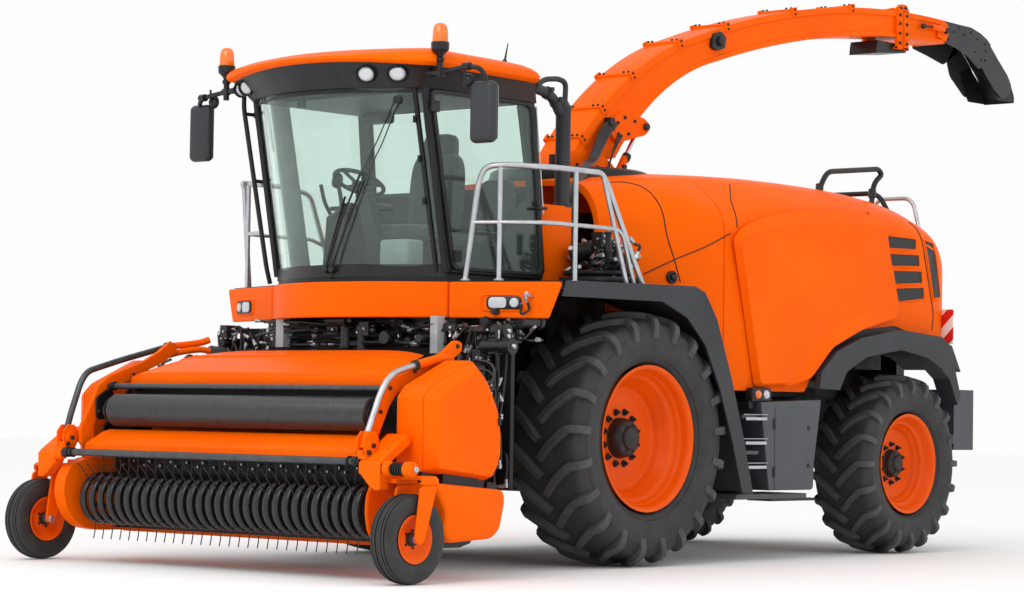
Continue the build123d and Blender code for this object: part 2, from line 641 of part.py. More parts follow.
def spout_strip(edge, top, bottom):
    # The strip between two copies of a curved edge, lowered by top and by bottom
    with BuildSketch() as strip:
        with BuildLine():
            upper = [ThreePointArc(*[(y, z - top) for y, z in arc]) for arc in edge]
            lower = [ThreePointArc(*[(y, z - bottom) for y, z in arc]) for arc in edge]
            Line(upper[0] @ 0, lower[0] @ 0)
            Line(upper[1] @ 1, lower[1] @ 1)
        make_face()
    return strip.sketch


def spout_face():
    # The whole side face between the outer and the inner edge
    with BuildSketch() as face:
        with BuildLine():
            outer = [ThreePointArc(*arc) for arc in outer_arcs]
            inner = [ThreePointArc(*arc) for arc in inner_arcs]
            Line(outer[0] @ 0, inner[0] @ 0)
            Line(outer[1] @ 1, inner[1] @ 1)
        make_face()
    return face.sketch


with BuildPart() as spout_sides:
    for out in (1, -1):
        plane, depth = outwards(spout_half - spout_wall, spout_wall, out)
        with BuildSketch(plane):
            add(spout_face())
        extrude(amount=depth)
        plane, depth = outwards(spout_half, 13, out)
        for edge, top, bottom in ((outer_arcs, 0, 55), (inner_arcs, -55, 0)):
            with BuildSketch(plane):
                add(spout_strip(edge, top, bottom))
            extrude(amount=depth)
        # The rims leave room for the hinge pins and stop short of the deflector's arms
        add(rod((out * 165.5, *spout_pivot), (out * 200, *spout_pivot), 42), mode=Mode.SUBTRACT)
        add(block((min(out * 166, out * 200), 5960, 4500), (max(out * 166, out * 200), 6200, 5000)),
            mode=Mode.SUBTRACT)
finish(spout_sides.part, "spout_sides")

spout_inside = spout_half - spout_wall
with BuildPart() as spout_walls:
    with BuildSketch(side(-spout_inside)):
        add(spout_strip(outer_arcs, 0, 12))
        add(spout_strip(inner_arcs, -12, 0))
    extrude(amount=2 * spout_inside)
finish(spout_walls.part, "spout_walls")

with BuildPart() as spout_fittings:
    # The collar round the spout
    with BuildSketch(Plane(origin=(0, 5250, 4752), x_dir=(1, 0, 0), z_dir=(0, -1, 0))):
        Rectangle(420, 440)
        Rectangle(358, 330, mode=Mode.SUBTRACT)
    extrude(amount=-150)
    # The ears that hold the lift ram's head
    with BuildSketch(side(179)):
        Polygon((1250, 3600), (1060, 3390), (1160, 3330), (1340, 3440), (1480, 3430), (1570, 3480),
                (1560, 3560), (1440, 3600), align=None)
    extrude(amount=18)
    add(rod((140, *ram_head), (180, *ram_head), 22))
    with BuildSketch(side(62)):
        Polygon((1380, 3455), (1500, 3435), (1575, 3490), (1610, 3720), (1450, 3640), align=None)
    extrude(amount=18)
    add(rod((79, *ram_head), (90, *ram_head), 22))
    add(spout_walls.part, mode=Mode.SUBTRACT)
finish(spout_fittings.part, "spout_fittings")

with BuildPart() as turntable:
    with BuildSketch(Plane(origin=(0, spout_turn_y, 2716))):
        Circle(340)
    extrude(amount=70)
    # The elbow's lower duct, which the spout's walls slide over
    add(block((-140, 520, 2786), (140, 1000, 3010)))
    add(block((-115, 560, 2700), (115, 960, 3100)), mode=Mode.SUBTRACT)
    # Hinge ears outside the spout's sides, and the pins
    for out in (1, -1):
        plane, depth = outwards(184, 20, out)
        with BuildSketch(plane):
            Polygon((440, 2786), (760, 2786), (600, 3130), (500, 3130), align=None)
        extrude(amount=depth)
        add(rod((out * 166.5, *spout_pivot), (out * 190, *spout_pivot), 24))
    # Ears for the ram's foot
    for x in (62, 150):
        with BuildSketch(side(x)):
            Polygon((990, 2786), (1110, 2786), (1170, 2870), (1150, 2945), (1090, 2945), (990, 2880),
                    align=None)
        extrude(amount=18)
    add(rod((75, *ram_foot), (155, *ram_foot), 20))
finish(turntable.part, "turntable")

ram_angle = atan2(ram_head[1] - ram_foot[1], ram_head[0] - ram_foot[0])
ram_length = hypot(ram_head[0] - ram_foot[0], ram_head[1] - ram_foot[1])


def along_ram(distance):
    # A point on the spout's lift ram, measured from its foot
    return (ram_x, ram_foot[0] + distance * cos(ram_angle), ram_foot[1] + distance * sin(ram_angle))


with BuildPart() as spout_ram_barrel:
    add(rod(along_ram(15), along_ram(400), 33))
    add(rod((ram_x - 27, *ram_foot), (ram_x + 27, *ram_foot), 45))
    add(rod((ram_x - 40, *ram_foot), (ram_x + 40, *ram_foot), 21), mode=Mode.SUBTRACT)
    add(rod(along_ram(90), along_ram(410), 22), mode=Mode.SUBTRACT)
finish(spout_ram_barrel.part, "spout_ram_barrel")

with BuildPart() as spout_ram_rod:
    add(rod(along_ram(ram_length - 450), along_ram(ram_length - 20), 20))
    add(rod((ram_x - 23, *ram_head), (ram_x + 23, *ram_head), 36))
finish(spout_ram_rod.part, "spout_ram_rod")

with BuildPart() as deflector:
    for out in (1, -1):
        plane, depth = outwards(172, 8, out)
        with BuildSketch(plane):
            Polygon((6010, 4885), (6520, 4893), (6830, 4812), (6900, 4730), (6780, 4530), (6540, 4630),
                    (6300, 4668), (6010, 4720), align=None)
        extrude(amount=depth)
        add(rod((out * 166.5, *deflector_pivot), (out * 180, *deflector_pivot), 20))
    with BuildSketch(side(-172)):
        Polygon((6110, 4884), (6520, 4893), (6800, 4820), (6797, 4811), (6519, 4884), (6110, 4875),
                align=None)
    extrude(amount=344)
finish(deflector.part, "deflector")

with BuildPart() as deflector_tip:
    for out in (1, -1):
        plane, depth = outwards(157, 8, out)
        with BuildSketch(plane):
            Polygon((6740, 4740), (6830, 4795), (6900, 4740), (7195, 4486), (7306, 4394), (7200, 4390),
                    (7130, 4275), (7040, 4262), (6960, 4300), (6750, 4560), align=None)
        extrude(amount=depth)
        add(rod((out * 157, *tip_pivot), (out * 171, *tip_pivot), 16))
    with BuildSketch(side(-157)):
        Polygon((6840, 4790), (6905, 4736), (7195, 4486), (7306, 4394), (7363, 4240), (7354, 4240),
                (7298, 4390), (7190, 4480), (6899, 4730), (6836, 4783), align=None)
    extrude(amount=314)
finish(deflector_tip.part, "deflector_tip")

# ---- Header: pick-up -----------------------------------------------------------------------------
with BuildPart() as header_frame:
    with BuildSketch(side(-header_half)):
        Polygon((-2600, 215), (-2230, 250), (-2200, 400), (-2200, 1270), (-2330, 1270), (-2330, 800),
                (-2240, 700), (-2240, 420), (-2270, 285), (-2600, 250), align=None)
    extrude(amount=2 * header_half)
    # The stripper beam behind the reel
    add(block((-header_half, -2600, 640), (header_half, -2330, 700)))
    for out in (1, -1):
        plane, depth = outwards(header_half, 30, out)
        with BuildSketch(plane):
            with BuildLine():
                ThreePointArc((reel_y, reel_z + 280), (reel_y - 280, reel_z), (reel_y, reel_z - 280))
                Polyline((reel_y, reel_z - 280), (-2250, 215), (-2190, 420), (-2190, 1300), (-2560, 1300),
                         (-2900, 1000), (-2900, 800), (reel_y, reel_z + 280))
            make_face()
        extrude(amount=depth)
finish(header_frame.part, "header_frame")

with BuildPart() as feeder:
    with BuildSketch(side(-400)):
        Polygon((-2199, 330), (-2199, 1200), (-990, 1330), (-990, 610), align=None)
    extrude(amount=800)
    for out in (1, -1):
        plane, depth = outwards(400, 30, out)
        with BuildSketch(plane):
            Polygon((-1250, 800), (-1250, 1100), (-870, 1030), (-820, 950), (-870, 870), align=None)
        extrude(amount=depth)
        # Ears for the lift rams' heads
        plane, depth = outwards(400, 75, out)
        with BuildSketch(plane):
            Polygon((-1900, 460), (-1700, 460), (-1700, 700), (-1900, 620), align=None)
        extrude(amount=depth)
        add(rod((out * 470, *lift_head), (out * 490, *lift_head), 22))
    add(rod((-440, *feeder_pivot), (440, *feeder_pivot), 31), mode=Mode.SUBTRACT)
finish(feeder.part, "feeder")

lift_angle = atan2(lift_head[1] - lift_foot[1], lift_head[0] - lift_foot[0])
lift_length = hypot(lift_head[0] - lift_foot[0], lift_head[1] - lift_foot[1])


def along_lift(x, distance):
    # A point on one of the header's lift rams, measured from its foot
    return (x, lift_foot[0] + distance * cos(lift_angle), lift_foot[1] + distance * sin(lift_angle))


with BuildPart() as header_ram_barrels:
    for out in (1, -1):
        x = out * lift_x
        add(rod(along_lift(x, 40), along_lift(x, 720), 45))
        add(rod((x - 22, *lift_foot), (x + 22, *lift_foot), 48))
        add(rod((x - 30, *lift_foot), (x + 30, *lift_foot), 23), mode=Mode.SUBTRACT)
        add(rod(along_lift(x, 400), along_lift(x, 740), 27), mode=Mode.SUBTRACT)
finish(header_ram_barrels.part, "header_ram_barrels")

with BuildPart() as header_ram_rods:
    for out in (1, -1):
        x = out * lift_x
        add(rod(along_lift(x, 560), along_lift(x, lift_length - 20), 25))
        add(rod((x - 18, *lift_head), (x + 18, *lift_head), 40))
finish(header_ram_rods.part, "header_ram_rods")

with BuildPart() as header_hood:
    # A sheet over the header that narrows rearwards: (y, half width, height)
    for y, half, z in ((-2705, 1330, 1305), (-2200, 1110, 1530), (-1640, 700, 1627)):
        with BuildSketch(across(y)):
            Polygon((-half, z - 35), (half, z - 35), (half - 40, z), (-half + 40, z), align=None)
    loft(ruled=True)
finish(header_hood.part, "header_hood")

with BuildPart() as front_bar:
    add(rod((-1505, -3140, 798), (1505, -3140, 798), 28))
    for out in (1, -1):
        arm = Plane(origin=(0, -3010, 0), x_dir=(out, 0, 0), z_dir=(0, -out, 0))
        with BuildSketch(arm):
            Polygon((1500, 660), (1850, 660), (1850, 930), (1800, 975), (1740, 960), (1500, 875), align=None)
        extrude(amount=out * 150)
    for out in (1, -1):
        # The crown over the wheel, two legs down to the hub and the arm back to the header's side
        add(block((min(out * 1735, out * 1975), -3040, 640), (max(out * 1735, out * 1975), -2890, 700)))
        for low, high in ((1735, 1757), (1953, 1975)):
            plane, depth = outwards(low, high - low, out)
            with BuildSketch(plane):
                Polygon((-3040, 645), (-3100, 320), (-3080, 265), (-3030, 265), (-3000, 320), (-2890, 645),
                        align=None)
            extrude(amount=depth)
        add(rod((out * 1750, gauge_y, gauge_radius), (out * 1960, gauge_y, gauge_radius), 29))
        add(block((min(out * 1780, out * 1900), -2950, 700), (max(out * 1780, out * 1900), -2880, 800)))
        add(block((min(out * 1496, out * 1790), -2900, 700), (max(out * 1496, out * 1790), -2850, 800)))
    for out in (1, -1):
        add(tube([(out * 1530, -3085, 865), (out * 1530, -3085, 1040), (out * 1530, -2960, 1400),
                  (out * 1530, -2150, 1585)], 24, 90))
finish(front_bar.part, "front_bar")

with BuildPart() as side_shields:
    for out in (1, -1):
        for outline in ([(-2840, 820), (-2840, 1160), (-2780, 1230), (-2420, 1470), (-2290, 1350),
                         (-2180, 1000), (-2180, 690)],
                        [(-2845, 780), (-2180, 650), (-2160, 330), (-2260, 250), (-2640, 250), (-2760, 560)]):
            plane, depth = outwards(1590, 310, out)
            with BuildSketch(plane):
                Polygon(*outline, align=None)
            extrude(amount=depth)
finish(side_shields.part, "side_shields")

with BuildPart() as stripper_bands:
    # Curved bands round the front of the reel, with tails back to the beam and the floor
    first = -band_pitch * (band_count - 1) / 2
    for band in range(band_count):
        with BuildSketch(side(first + band * band_pitch - 30)):
            with BuildLine():
                ThreePointArc((reel_y, reel_z + 240), (reel_y - 240, reel_z), (reel_y, reel_z - 240))
                Polyline((reel_y, reel_z - 240), (-2601, reel_z - 255), (-2601, reel_z - 235),
                         (reel_y, reel_z - 220))
                ThreePointArc((reel_y, reel_z - 220), (reel_y - 220, reel_z), (reel_y, reel_z + 220))
                Polyline((reel_y, reel_z + 220), (-2601, reel_z + 180), (-2601, reel_z + 200),
                         (reel_y, reel_z + 240))
            make_face()
        extrude(amount=60)
finish(stripper_bands.part, "stripper_bands")

with BuildPart() as tine_reel:
    add(rod((-1440, reel_y, reel_z), (1440, reel_y, reel_z), 70))
    for row in range(4):
        turn = radians(-90 + 90 * row)
        bar_y, bar_z = reel_y + 165 * cos(turn), reel_z + 165 * sin(turn)
        add(rod((-1440, bar_y, bar_z), (1440, bar_y, bar_z), 16))
    for x in (-1440, -480, 470, 1430):
        add(rod((x, reel_y, reel_z), (x + 10, reel_y, reel_z), 190))
finish(tine_reel.part, "tine_reel")

with BuildPart() as press_frame:
    for out in (1, -1):
        plane, depth = outwards(1400, 45, out)
        with BuildSketch(plane):
            Polygon((-2120, 1560), (-2120, 1630), (-2190, 1650), (-2800, 1420), (-3010, 1270), (-3090, 1040),
                    (-3090, 900), (-3020, 840), (-2960, 900), (-2900, 1180), (-2720, 1290), (-2200, 1540),
                    align=None)
        extrude(amount=depth)
    add(rod((-1410, -2780, 1330), (1410, -2780, 1330), 24))
    with BuildSketch(side(-1410)):
        Polygon((-2870, 965), (-3030, 870), (-3035, 802), (-3015, 802), (-3012, 860), (-2860, 948), align=None)
    extrude(amount=2820)
finish(press_frame.part, "press_frame")

with BuildPart() as press_roller:
    add(rod((-1360, -2850, 1110), (1360, -2850, 1110), 128))
    add(rod((-1396, -2850, 1110), (1396, -2850, 1110), 40))
finish(press_roller.part, "press_roller")
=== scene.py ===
import json
import math
import bmesh
import bpy
import numpy as np
from mathutils import Matrix


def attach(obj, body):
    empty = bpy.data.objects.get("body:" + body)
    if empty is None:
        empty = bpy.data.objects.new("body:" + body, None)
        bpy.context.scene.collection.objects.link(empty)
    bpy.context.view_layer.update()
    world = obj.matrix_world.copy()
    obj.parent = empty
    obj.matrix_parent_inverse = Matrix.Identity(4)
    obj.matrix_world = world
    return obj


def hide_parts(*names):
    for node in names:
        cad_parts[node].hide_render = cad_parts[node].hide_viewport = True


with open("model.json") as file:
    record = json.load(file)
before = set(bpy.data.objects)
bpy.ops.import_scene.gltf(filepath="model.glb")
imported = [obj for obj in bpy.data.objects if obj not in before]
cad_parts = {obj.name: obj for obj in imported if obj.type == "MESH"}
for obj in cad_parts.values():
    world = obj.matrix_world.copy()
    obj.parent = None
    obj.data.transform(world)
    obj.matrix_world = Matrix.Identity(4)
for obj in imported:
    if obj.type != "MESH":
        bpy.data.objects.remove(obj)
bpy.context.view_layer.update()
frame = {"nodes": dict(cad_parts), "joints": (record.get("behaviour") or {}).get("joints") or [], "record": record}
nodes = frame["nodes"]
joints = {joint["name"]: joint for joint in frame["joints"]}
axleY = joints["front_wheel_left_spin"]["pos_m"][1]  # pieces are drawn with the front axle at y = 0
print("frame loaded:", len(nodes), "nodes")


def ease(t):
    # Smooth step: 3t^2 - 2t^3, clamped to 0..1
    t = np.clip(t, 0, 1)
    return t * t * (3 - 2 * t)


def gridFaces(rows, columns, closeRows=False, closeColumns=False):
    # Quads between neighbouring rows and columns of a grid of points numbered row by row
    i = np.arange(rows if closeRows else rows - 1)[:, None]
    j = np.arange(columns if closeColumns else columns - 1)[None, :]
    i2, j2 = (i + 1) % rows, (j + 1) % columns
    quads = [i * columns + j, i * columns + j2, i2 * columns + j2, i2 * columns + j]
    return np.stack([np.broadcast_to(q, np.broadcast_shapes(i.shape, j.shape)) for q in quads], -1).reshape(-1, 4)


def grid(points, closeRows=False, closeColumns=False, capEnds=False):
    # A grid of points (rows, columns, 3) as vertices and faces, its first and last rows closed if asked
    rows, columns = points.shape[:2]
    faces = gridFaces(rows, columns, closeRows, closeColumns).tolist()
    if capEnds:
        faces += [list(range(columns))[::-1], list(range((rows - 1) * columns, rows * columns))]
    return points.reshape(-1, 3), faces


def loft(rows):
    # A closed skin through loops of points, with a face over the first and the last
    return grid(np.stack(rows), closeColumns=True, capEnds=True)


def join(*shapes):
    # Several (vertices, faces) as one
    points, faces, start = [], [], 0
    for vertices, polygons in shapes:
        vertices = np.asarray(vertices, float).reshape(-1, 3)
        points.append(vertices)
        faces += [[k + start for k in polygon] for polygon in polygons]
        start += len(vertices)
    return np.concatenate(points), faces


def mirrored(shape):
    # The same shape on the machine's other side: x to -x, with its faces turned round
    vertices, faces = shape
    return np.asarray(vertices) * (-1, 1, 1), [list(polygon)[::-1] for polygon in faces]


def asDrawn(shape):
    # The shape itself, beside mirrored in a loop over both sides
    return shape


def bothSides(shape):
    # The shape and its mirror image as one
    return join(shape, mirrored(shape))


def roundedPath(corners, bend, steps=6):
    # Straight runs whose corners are replaced by parabolic arcs that start and end one bend away
    corners = np.asarray(corners, float)
    path = [corners[:1]]
    for before, corner, after in zip(corners[:-2], corners[1:-1], corners[2:]):
        into, out = before - corner, after - corner
        reach = min(bend, np.linalg.norm(into) * 0.49, np.linalg.norm(out) * 0.49)
        first, last = corner + into / np.linalg.norm(into) * reach, corner + out / np.linalg.norm(out) * reach
        t = np.linspace(0, 1, steps)[:, None]
        path.append((1 - t) ** 2 * first + 2 * t * (1 - t) * corner + t ** 2 * last)
    return np.concatenate(path + [corners[-1:]])


def curvedPath(knots, steps=8):
    # A Catmull-Rom curve through the knots
    knots = np.asarray(knots, float)
    padded = np.concatenate([2 * knots[:1] - knots[1:2], knots, 2 * knots[-1:] - knots[-2:-1]])
    t = np.linspace(0, 1, steps, endpoint=False)[:, None]
    runs = [0.5 * (2 * b + (c - a) * t + (2 * a - 5 * b + 4 * c - d) * t ** 2 + (3 * b - a - 3 * c + d) * t ** 3)
            for a, b, c, d in zip(padded[:-3], padded[1:-2], padded[2:-1], padded[3:])]
    return np.concatenate(runs + [knots[-1:]])


def carry(path, profile, closed=False, up=None):
    # A closed profile (width, height) carried along a path, square to it, without twisting
    path, profile = np.asarray(path, float), np.asarray(profile, float)
    ahead = np.roll(path, -1, 0) - np.roll(path, 1, 0) if closed else np.gradient(path, axis=0)
    ahead /= np.linalg.norm(ahead, axis=1, keepdims=True)
    start = np.array(up if up is not None else ((0, 0, 1) if abs(ahead[0, 2]) < 0.9 else (0, 1, 0)), float)
    uprights = []
    for direction in ahead:
        start = start - direction * (start @ direction)
        start = start / np.linalg.norm(start)
        uprights.append(start)
    uprights = np.array(uprights)
    across = np.cross(ahead, uprights)
    points = path[:, None] + across[:, None] * profile[None, :, :1] + uprights[:, None] * profile[None, :, 1:]
    return grid(points, closeRows=closed, closeColumns=True, capEnds=not closed)


def ring(radius, count=16, squash=1.0):
    # Points round a circle, flattened by squash
    turn = np.arange(count) * 2 * math.pi / count
    return np.stack([np.cos(turn) * radius, np.sin(turn) * radius * squash], -1)


def tube(corners, radius, bend=0.08, sides=14, steps=6):
    # A round bar along straight runs with bent corners
    return carry(roundedPath(corners, bend, steps), ring(radius, sides))


def hose(knots, radius, sides=10):
    # A round section along a smooth curve through the knots
    return carry(curvedPath(knots), ring(radius, sides))


def spin(profile, centre, count):
    # A profile of (x, radius) turned about an axis along x through the centre
    profile = np.asarray(profile, float)
    turn = np.arange(count) * 2 * math.pi / count
    along = np.broadcast_to(profile[:, :1], (len(profile), count))
    points = np.stack([along, profile[:, 1:] * np.cos(turn), profile[:, 1:] * np.sin(turn)], -1)
    return grid(points + np.asarray(centre, float), closeColumns=True)


def stub(low, high, radius, centre, count):
    # A plain round bar along x, from low to high
    return spin([(low, 0.0), (low, radius), (high, radius), (high, 0.0)], centre, count)


def slab(outline, low, depth, axis=0):
    # A flat outline, drawn in the two directions square to an axis, pushed along it from low by a depth
    outline = np.asarray(outline, float)
    levels = [np.insert(outline, axis, start, axis=1) for start in (low, low + depth)]
    return loft(levels)


def roundedSlab(outline, bend, low, depth, steps=4):
    # A slab across x whose (y, z) outline has rounded corners
    return slab(roundedLoop(outline, bend, steps), low, depth)


def boxShape(low, high):
    # A box between two opposite corners
    (x0, y0, z0), (x1, y1, z1) = low, high
    return slab([(y0, z0), (y1, z0), (y1, z1), (y0, z1)], x0, x1 - x0)


def basis(direction):
    # Three square directions, the last one along a direction
    w = np.asarray(direction, float) / np.linalg.norm(direction)
    u = np.cross((0, 0, 1) if abs(w[2]) < 0.9 else (1, 0, 0), w)
    u /= np.linalg.norm(u)
    return np.stack([u, np.cross(w, u), w])


def bolts(places, direction, radius, height, sides=6):
    # Hexagon heads with a chamfered top, standing on the places along a direction
    frameAxes = basis(direction)
    shapes = []
    for place in places:
        levels = [(radius, 0), (radius, height * 0.8), (radius * 0.82, height)]
        rows = [np.column_stack([ring(r, sides), np.full(sides, h)]) @ frameAxes + np.asarray(place, float)
                for r, h in levels]
        shapes.append(loft(rows))
    return join(*shapes)


def inset(outline, by):
    # An outline drawn in by a distance: each corner moves along its two neighbours' inward normals
    outline = np.asarray(outline, float)
    ahead = np.roll(outline, -1, 0) - outline
    ahead /= np.linalg.norm(ahead, axis=1, keepdims=True)
    area = np.sum(outline[:, 0] * np.roll(outline[:, 1], -1) - np.roll(outline[:, 0], -1) * outline[:, 1])
    normal = np.stack([-ahead[:, 1], ahead[:, 0]], -1) * np.sign(area)
    before = np.roll(normal, 1, 0)
    return outline + (normal + before) * (by / (1 + np.sum(normal * before, 1, keepdims=True)))


def roundedLoop(outline, bend, steps=6):
    # A closed outline of (y, z) with rounded corners
    corners = np.asarray(outline, float)
    looped = np.concatenate([corners[-1:], corners, corners[:1]])
    return roundedPath(np.column_stack([looped, np.zeros(len(looped))]), bend, steps)[1:-1, :2]


def roundedLoop3(corners, bend):
    # A closed outline in space with rounded corners
    corners = np.asarray(corners, float)
    return roundedPath(np.concatenate([corners[-1:], corners, corners[:1]]), bend)[1:-1]


def turned(profile, centre, direction, count=32, squash=1.0):
    # A profile of (along, radius) turned about any direction, flattened across it by squash
    rows = [np.column_stack([ring(radius, count, squash), np.full(count, along)]) for along, radius in profile]
    return grid(np.stack(rows) @ basis(direction) + np.asarray(centre, float), closeColumns=True)


def disc(half, radius, centre, direction, count):
    # A round disc, half its thickness to each side of the centre
    return turned([(-half, 0.0), (-half, radius), (half, radius), (half, 0.0)], centre, direction, count)


def roundedBox(low, high, bend, steps=5):
    # A box whose outline across z is rounded by bend, drawn in at both ends over a quarter turn
    (x0, y0, z0), (x1, y1, z1) = low, high
    turn = np.linspace(0, math.pi / 2, steps)
    corners = [((x1, y1), 0), ((x0, y1), 1), ((x0, y0), 2), ((x1, y0), 3)]
    rows = []
    reach = min(bend, (y1 - y0) / 2 * 0.98, (x1 - x0) / 2 * 0.98)
    for z, shrink in [(z0 + bend * (1 - math.sin(a)), bend * (1 - math.cos(a))) for a in turn[::-1]] + \
                     [(z1 - bend * (1 - math.sin(a)), bend * (1 - math.cos(a))) for a in turn]:
        shrink = min(shrink, reach * 0.8)
        inner = max(reach - shrink, 0.001)
        outline = []
        for (cx, cy), quarter in corners:
            sx, sy = (1 if cx == x1 else -1), (1 if cy == y1 else -1)
            a = turn + quarter * math.pi / 2
            outline.append(np.stack([cx - sx * reach + inner * np.cos(a), cy - sy * reach + inner * np.sin(a)], -1))
        rows.append(np.column_stack([np.concatenate(outline), np.full(4 * steps, z)]))
    return loft(rows)


def beam(first, last, wide, deep, up=(0, -1, 0)):
    # A straight bar of rectangular section with chamfered corners
    w, d, c = wide / 2, deep / 2, min(wide, deep) * 0.18
    section = [(-w + c, -d), (w - c, -d), (w, -d + c), (w, d - c), (w - c, d), (-w + c, d), (-w, d - c), (-w, -d + c)]
    return carry([first, last], section, up=up)


mergeDistance = 1e-5  # vertices closer than this are one
roundedFrom = math.radians(28)  # edges sharper than this are rounded


def addPiece(name, shape, body, material, smooth=40, bevel=0, replaces=()):
    # Makes an object of (vertices, faces) drawn with the front axle at y = 0, and lets it ride on a body
    vertices, faces = shape
    vertices = np.asarray(vertices, float) + (0, axleY, 0)
    mesh = bpy.data.meshes.new(name)
    mesh.from_pydata(vertices.tolist(), [], [list(map(int, polygon)) for polygon in faces])
    work = bmesh.new()
    work.from_mesh(mesh)
    bmesh.ops.remove_doubles(work, verts=work.verts, dist=mergeDistance)
    bmesh.ops.recalc_face_normals(work, faces=work.faces)
    work.to_mesh(mesh)
    work.free()
    mesh.materials.append(material)
    piece = bpy.data.objects.new(name, mesh)
    bpy.context.scene.collection.objects.link(piece)
    finishPiece(piece, body, smooth, bevel, replaces)
    return piece


def finishPiece(piece, body, smooth, bevel, replaces):
    # Rounds the edges, shades smooth up to an angle, and says which body and CAD nodes the piece goes with
    if bevel:
        edge = piece.modifiers.new("roundedEdges", "BEVEL")
        edge.width, edge.segments, edge.limit_method = bevel, 2, "ANGLE"
        edge.angle_limit, edge.harden_normals = roundedFrom, True
    piece.data.shade_smooth()
    if smooth < 180:
        piece.data.set_sharp_from_angle(angle=math.radians(smooth))
    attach(piece, body)
    if replaces:
        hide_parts(*replaces)


bodyOf = {node: body for body, members in frame["record"]["behaviour"]["bodies"].items() for node in members}
slotOf = {part["node"]: part["material_slot"] for part in frame["record"]["subparts"]}


def softened(node, bevel, material, smooth=40):
    # A copy of a CAD node, merged, with nearly flat faces made one and with rounded edges, that stands in for it
    looseMerge, nearlyFlat = 1e-4, math.radians(1.5)
    piece = nodes[node].copy()
    piece.data = nodes[node].data.copy()
    piece.name = node + "_shaped"
    piece.parent = None
    for key in [key for key in piece.keys() if key.startswith("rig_")]:
        del piece[key]
    bpy.context.scene.collection.objects.link(piece)
    work = bmesh.new()
    work.from_mesh(piece.data)
    bmesh.ops.remove_doubles(work, verts=work.verts, dist=looseMerge)
    bmesh.ops.dissolve_limit(work, angle_limit=nearlyFlat, verts=work.verts, edges=work.edges)
    work.to_mesh(piece.data)
    work.free()
    if piece.data.has_custom_normals:
        bpy.context.view_layer.objects.active = piece
        piece.data.normals_split_custom_set([(0, 0, 0)] * len(piece.data.loops))
    piece.data.materials.clear()
    piece.data.materials.append(material)
    finishPiece(piece, bodyOf[node], smooth, bevel, (node,))
    return piece


def linear(hexColour):
    # sRGB hex to linear: c / 12.92 below 0.04045, else ((c + 0.055) / 1.055) ^ 2.4
    channels = [int(hexColour[k:k + 2], 16) / 255 for k in (0, 2, 4)]
    return [c / 12.92 if c < 0.04045 else ((c + 0.055) / 1.055) ** 2.4 for c in channels] + [1]


def addNode(tree, kind, inputs=None, **settings):
    # Adds a node; an input given as another node's output is linked, and any other value is set
    node = tree.nodes.new("ShaderNode" + kind)
    for key, value in settings.items():
        setattr(node, key, value)
    for key, value in (inputs or {}).items():
        if isinstance(value, bpy.types.NodeSocket):
            tree.links.new(value, node.inputs[key])
        else:
            node.inputs[key].default_value = value
    return node


def newMaterial(name):
    # An empty material and its node tree
    material = bpy.data.materials.new(name)
    material.use_nodes = True
    material.node_tree.nodes.clear()
    return material, material.node_tree


def makeFinish(name, tones, blotch, rough, grain, depth, **shader):
    # Broad noise (blotch, mm) blends two tones; fine noise (grain, mm) blends two roughnesses and raises the
    # surface by depth (mm)
    material, tree = newMaterial(name)
    place = addNode(tree, "TexCoord").outputs["Object"]
    broad = addNode(tree, "TexNoise", {"Vector": place, "Scale": 1000 / blotch, "Detail": 3.0}).outputs["Fac"]
    fine = addNode(tree, "TexNoise", {"Vector": place, "Scale": 1000 / grain, "Detail": 2.0}).outputs["Fac"]
    share = addNode(tree, "MapRange", {"Value": broad, "From Min": 0.35, "From Max": 0.65}).outputs[0]
    colour = addNode(tree, "Mix", {"Factor": share, 6: linear(tones[0]), 7: linear(tones[1])},
                     data_type="RGBA").outputs[2]
    gloss = addNode(tree, "MapRange", {"Value": fine, "From Min": 0.3, "From Max": 0.7,
                                       "To Min": rough[0], "To Max": rough[1]}).outputs[0]
    relief = addNode(tree, "Bump", {"Height": fine, "Distance": depth / 1000, "Strength": 1.0}).outputs[0]
    body = addNode(tree, "BsdfPrincipled", {"Base Color": colour, "Roughness": gloss, "Normal": relief, **shader})
    addNode(tree, "OutputMaterial", {"Surface": body.outputs[0]})
    return material


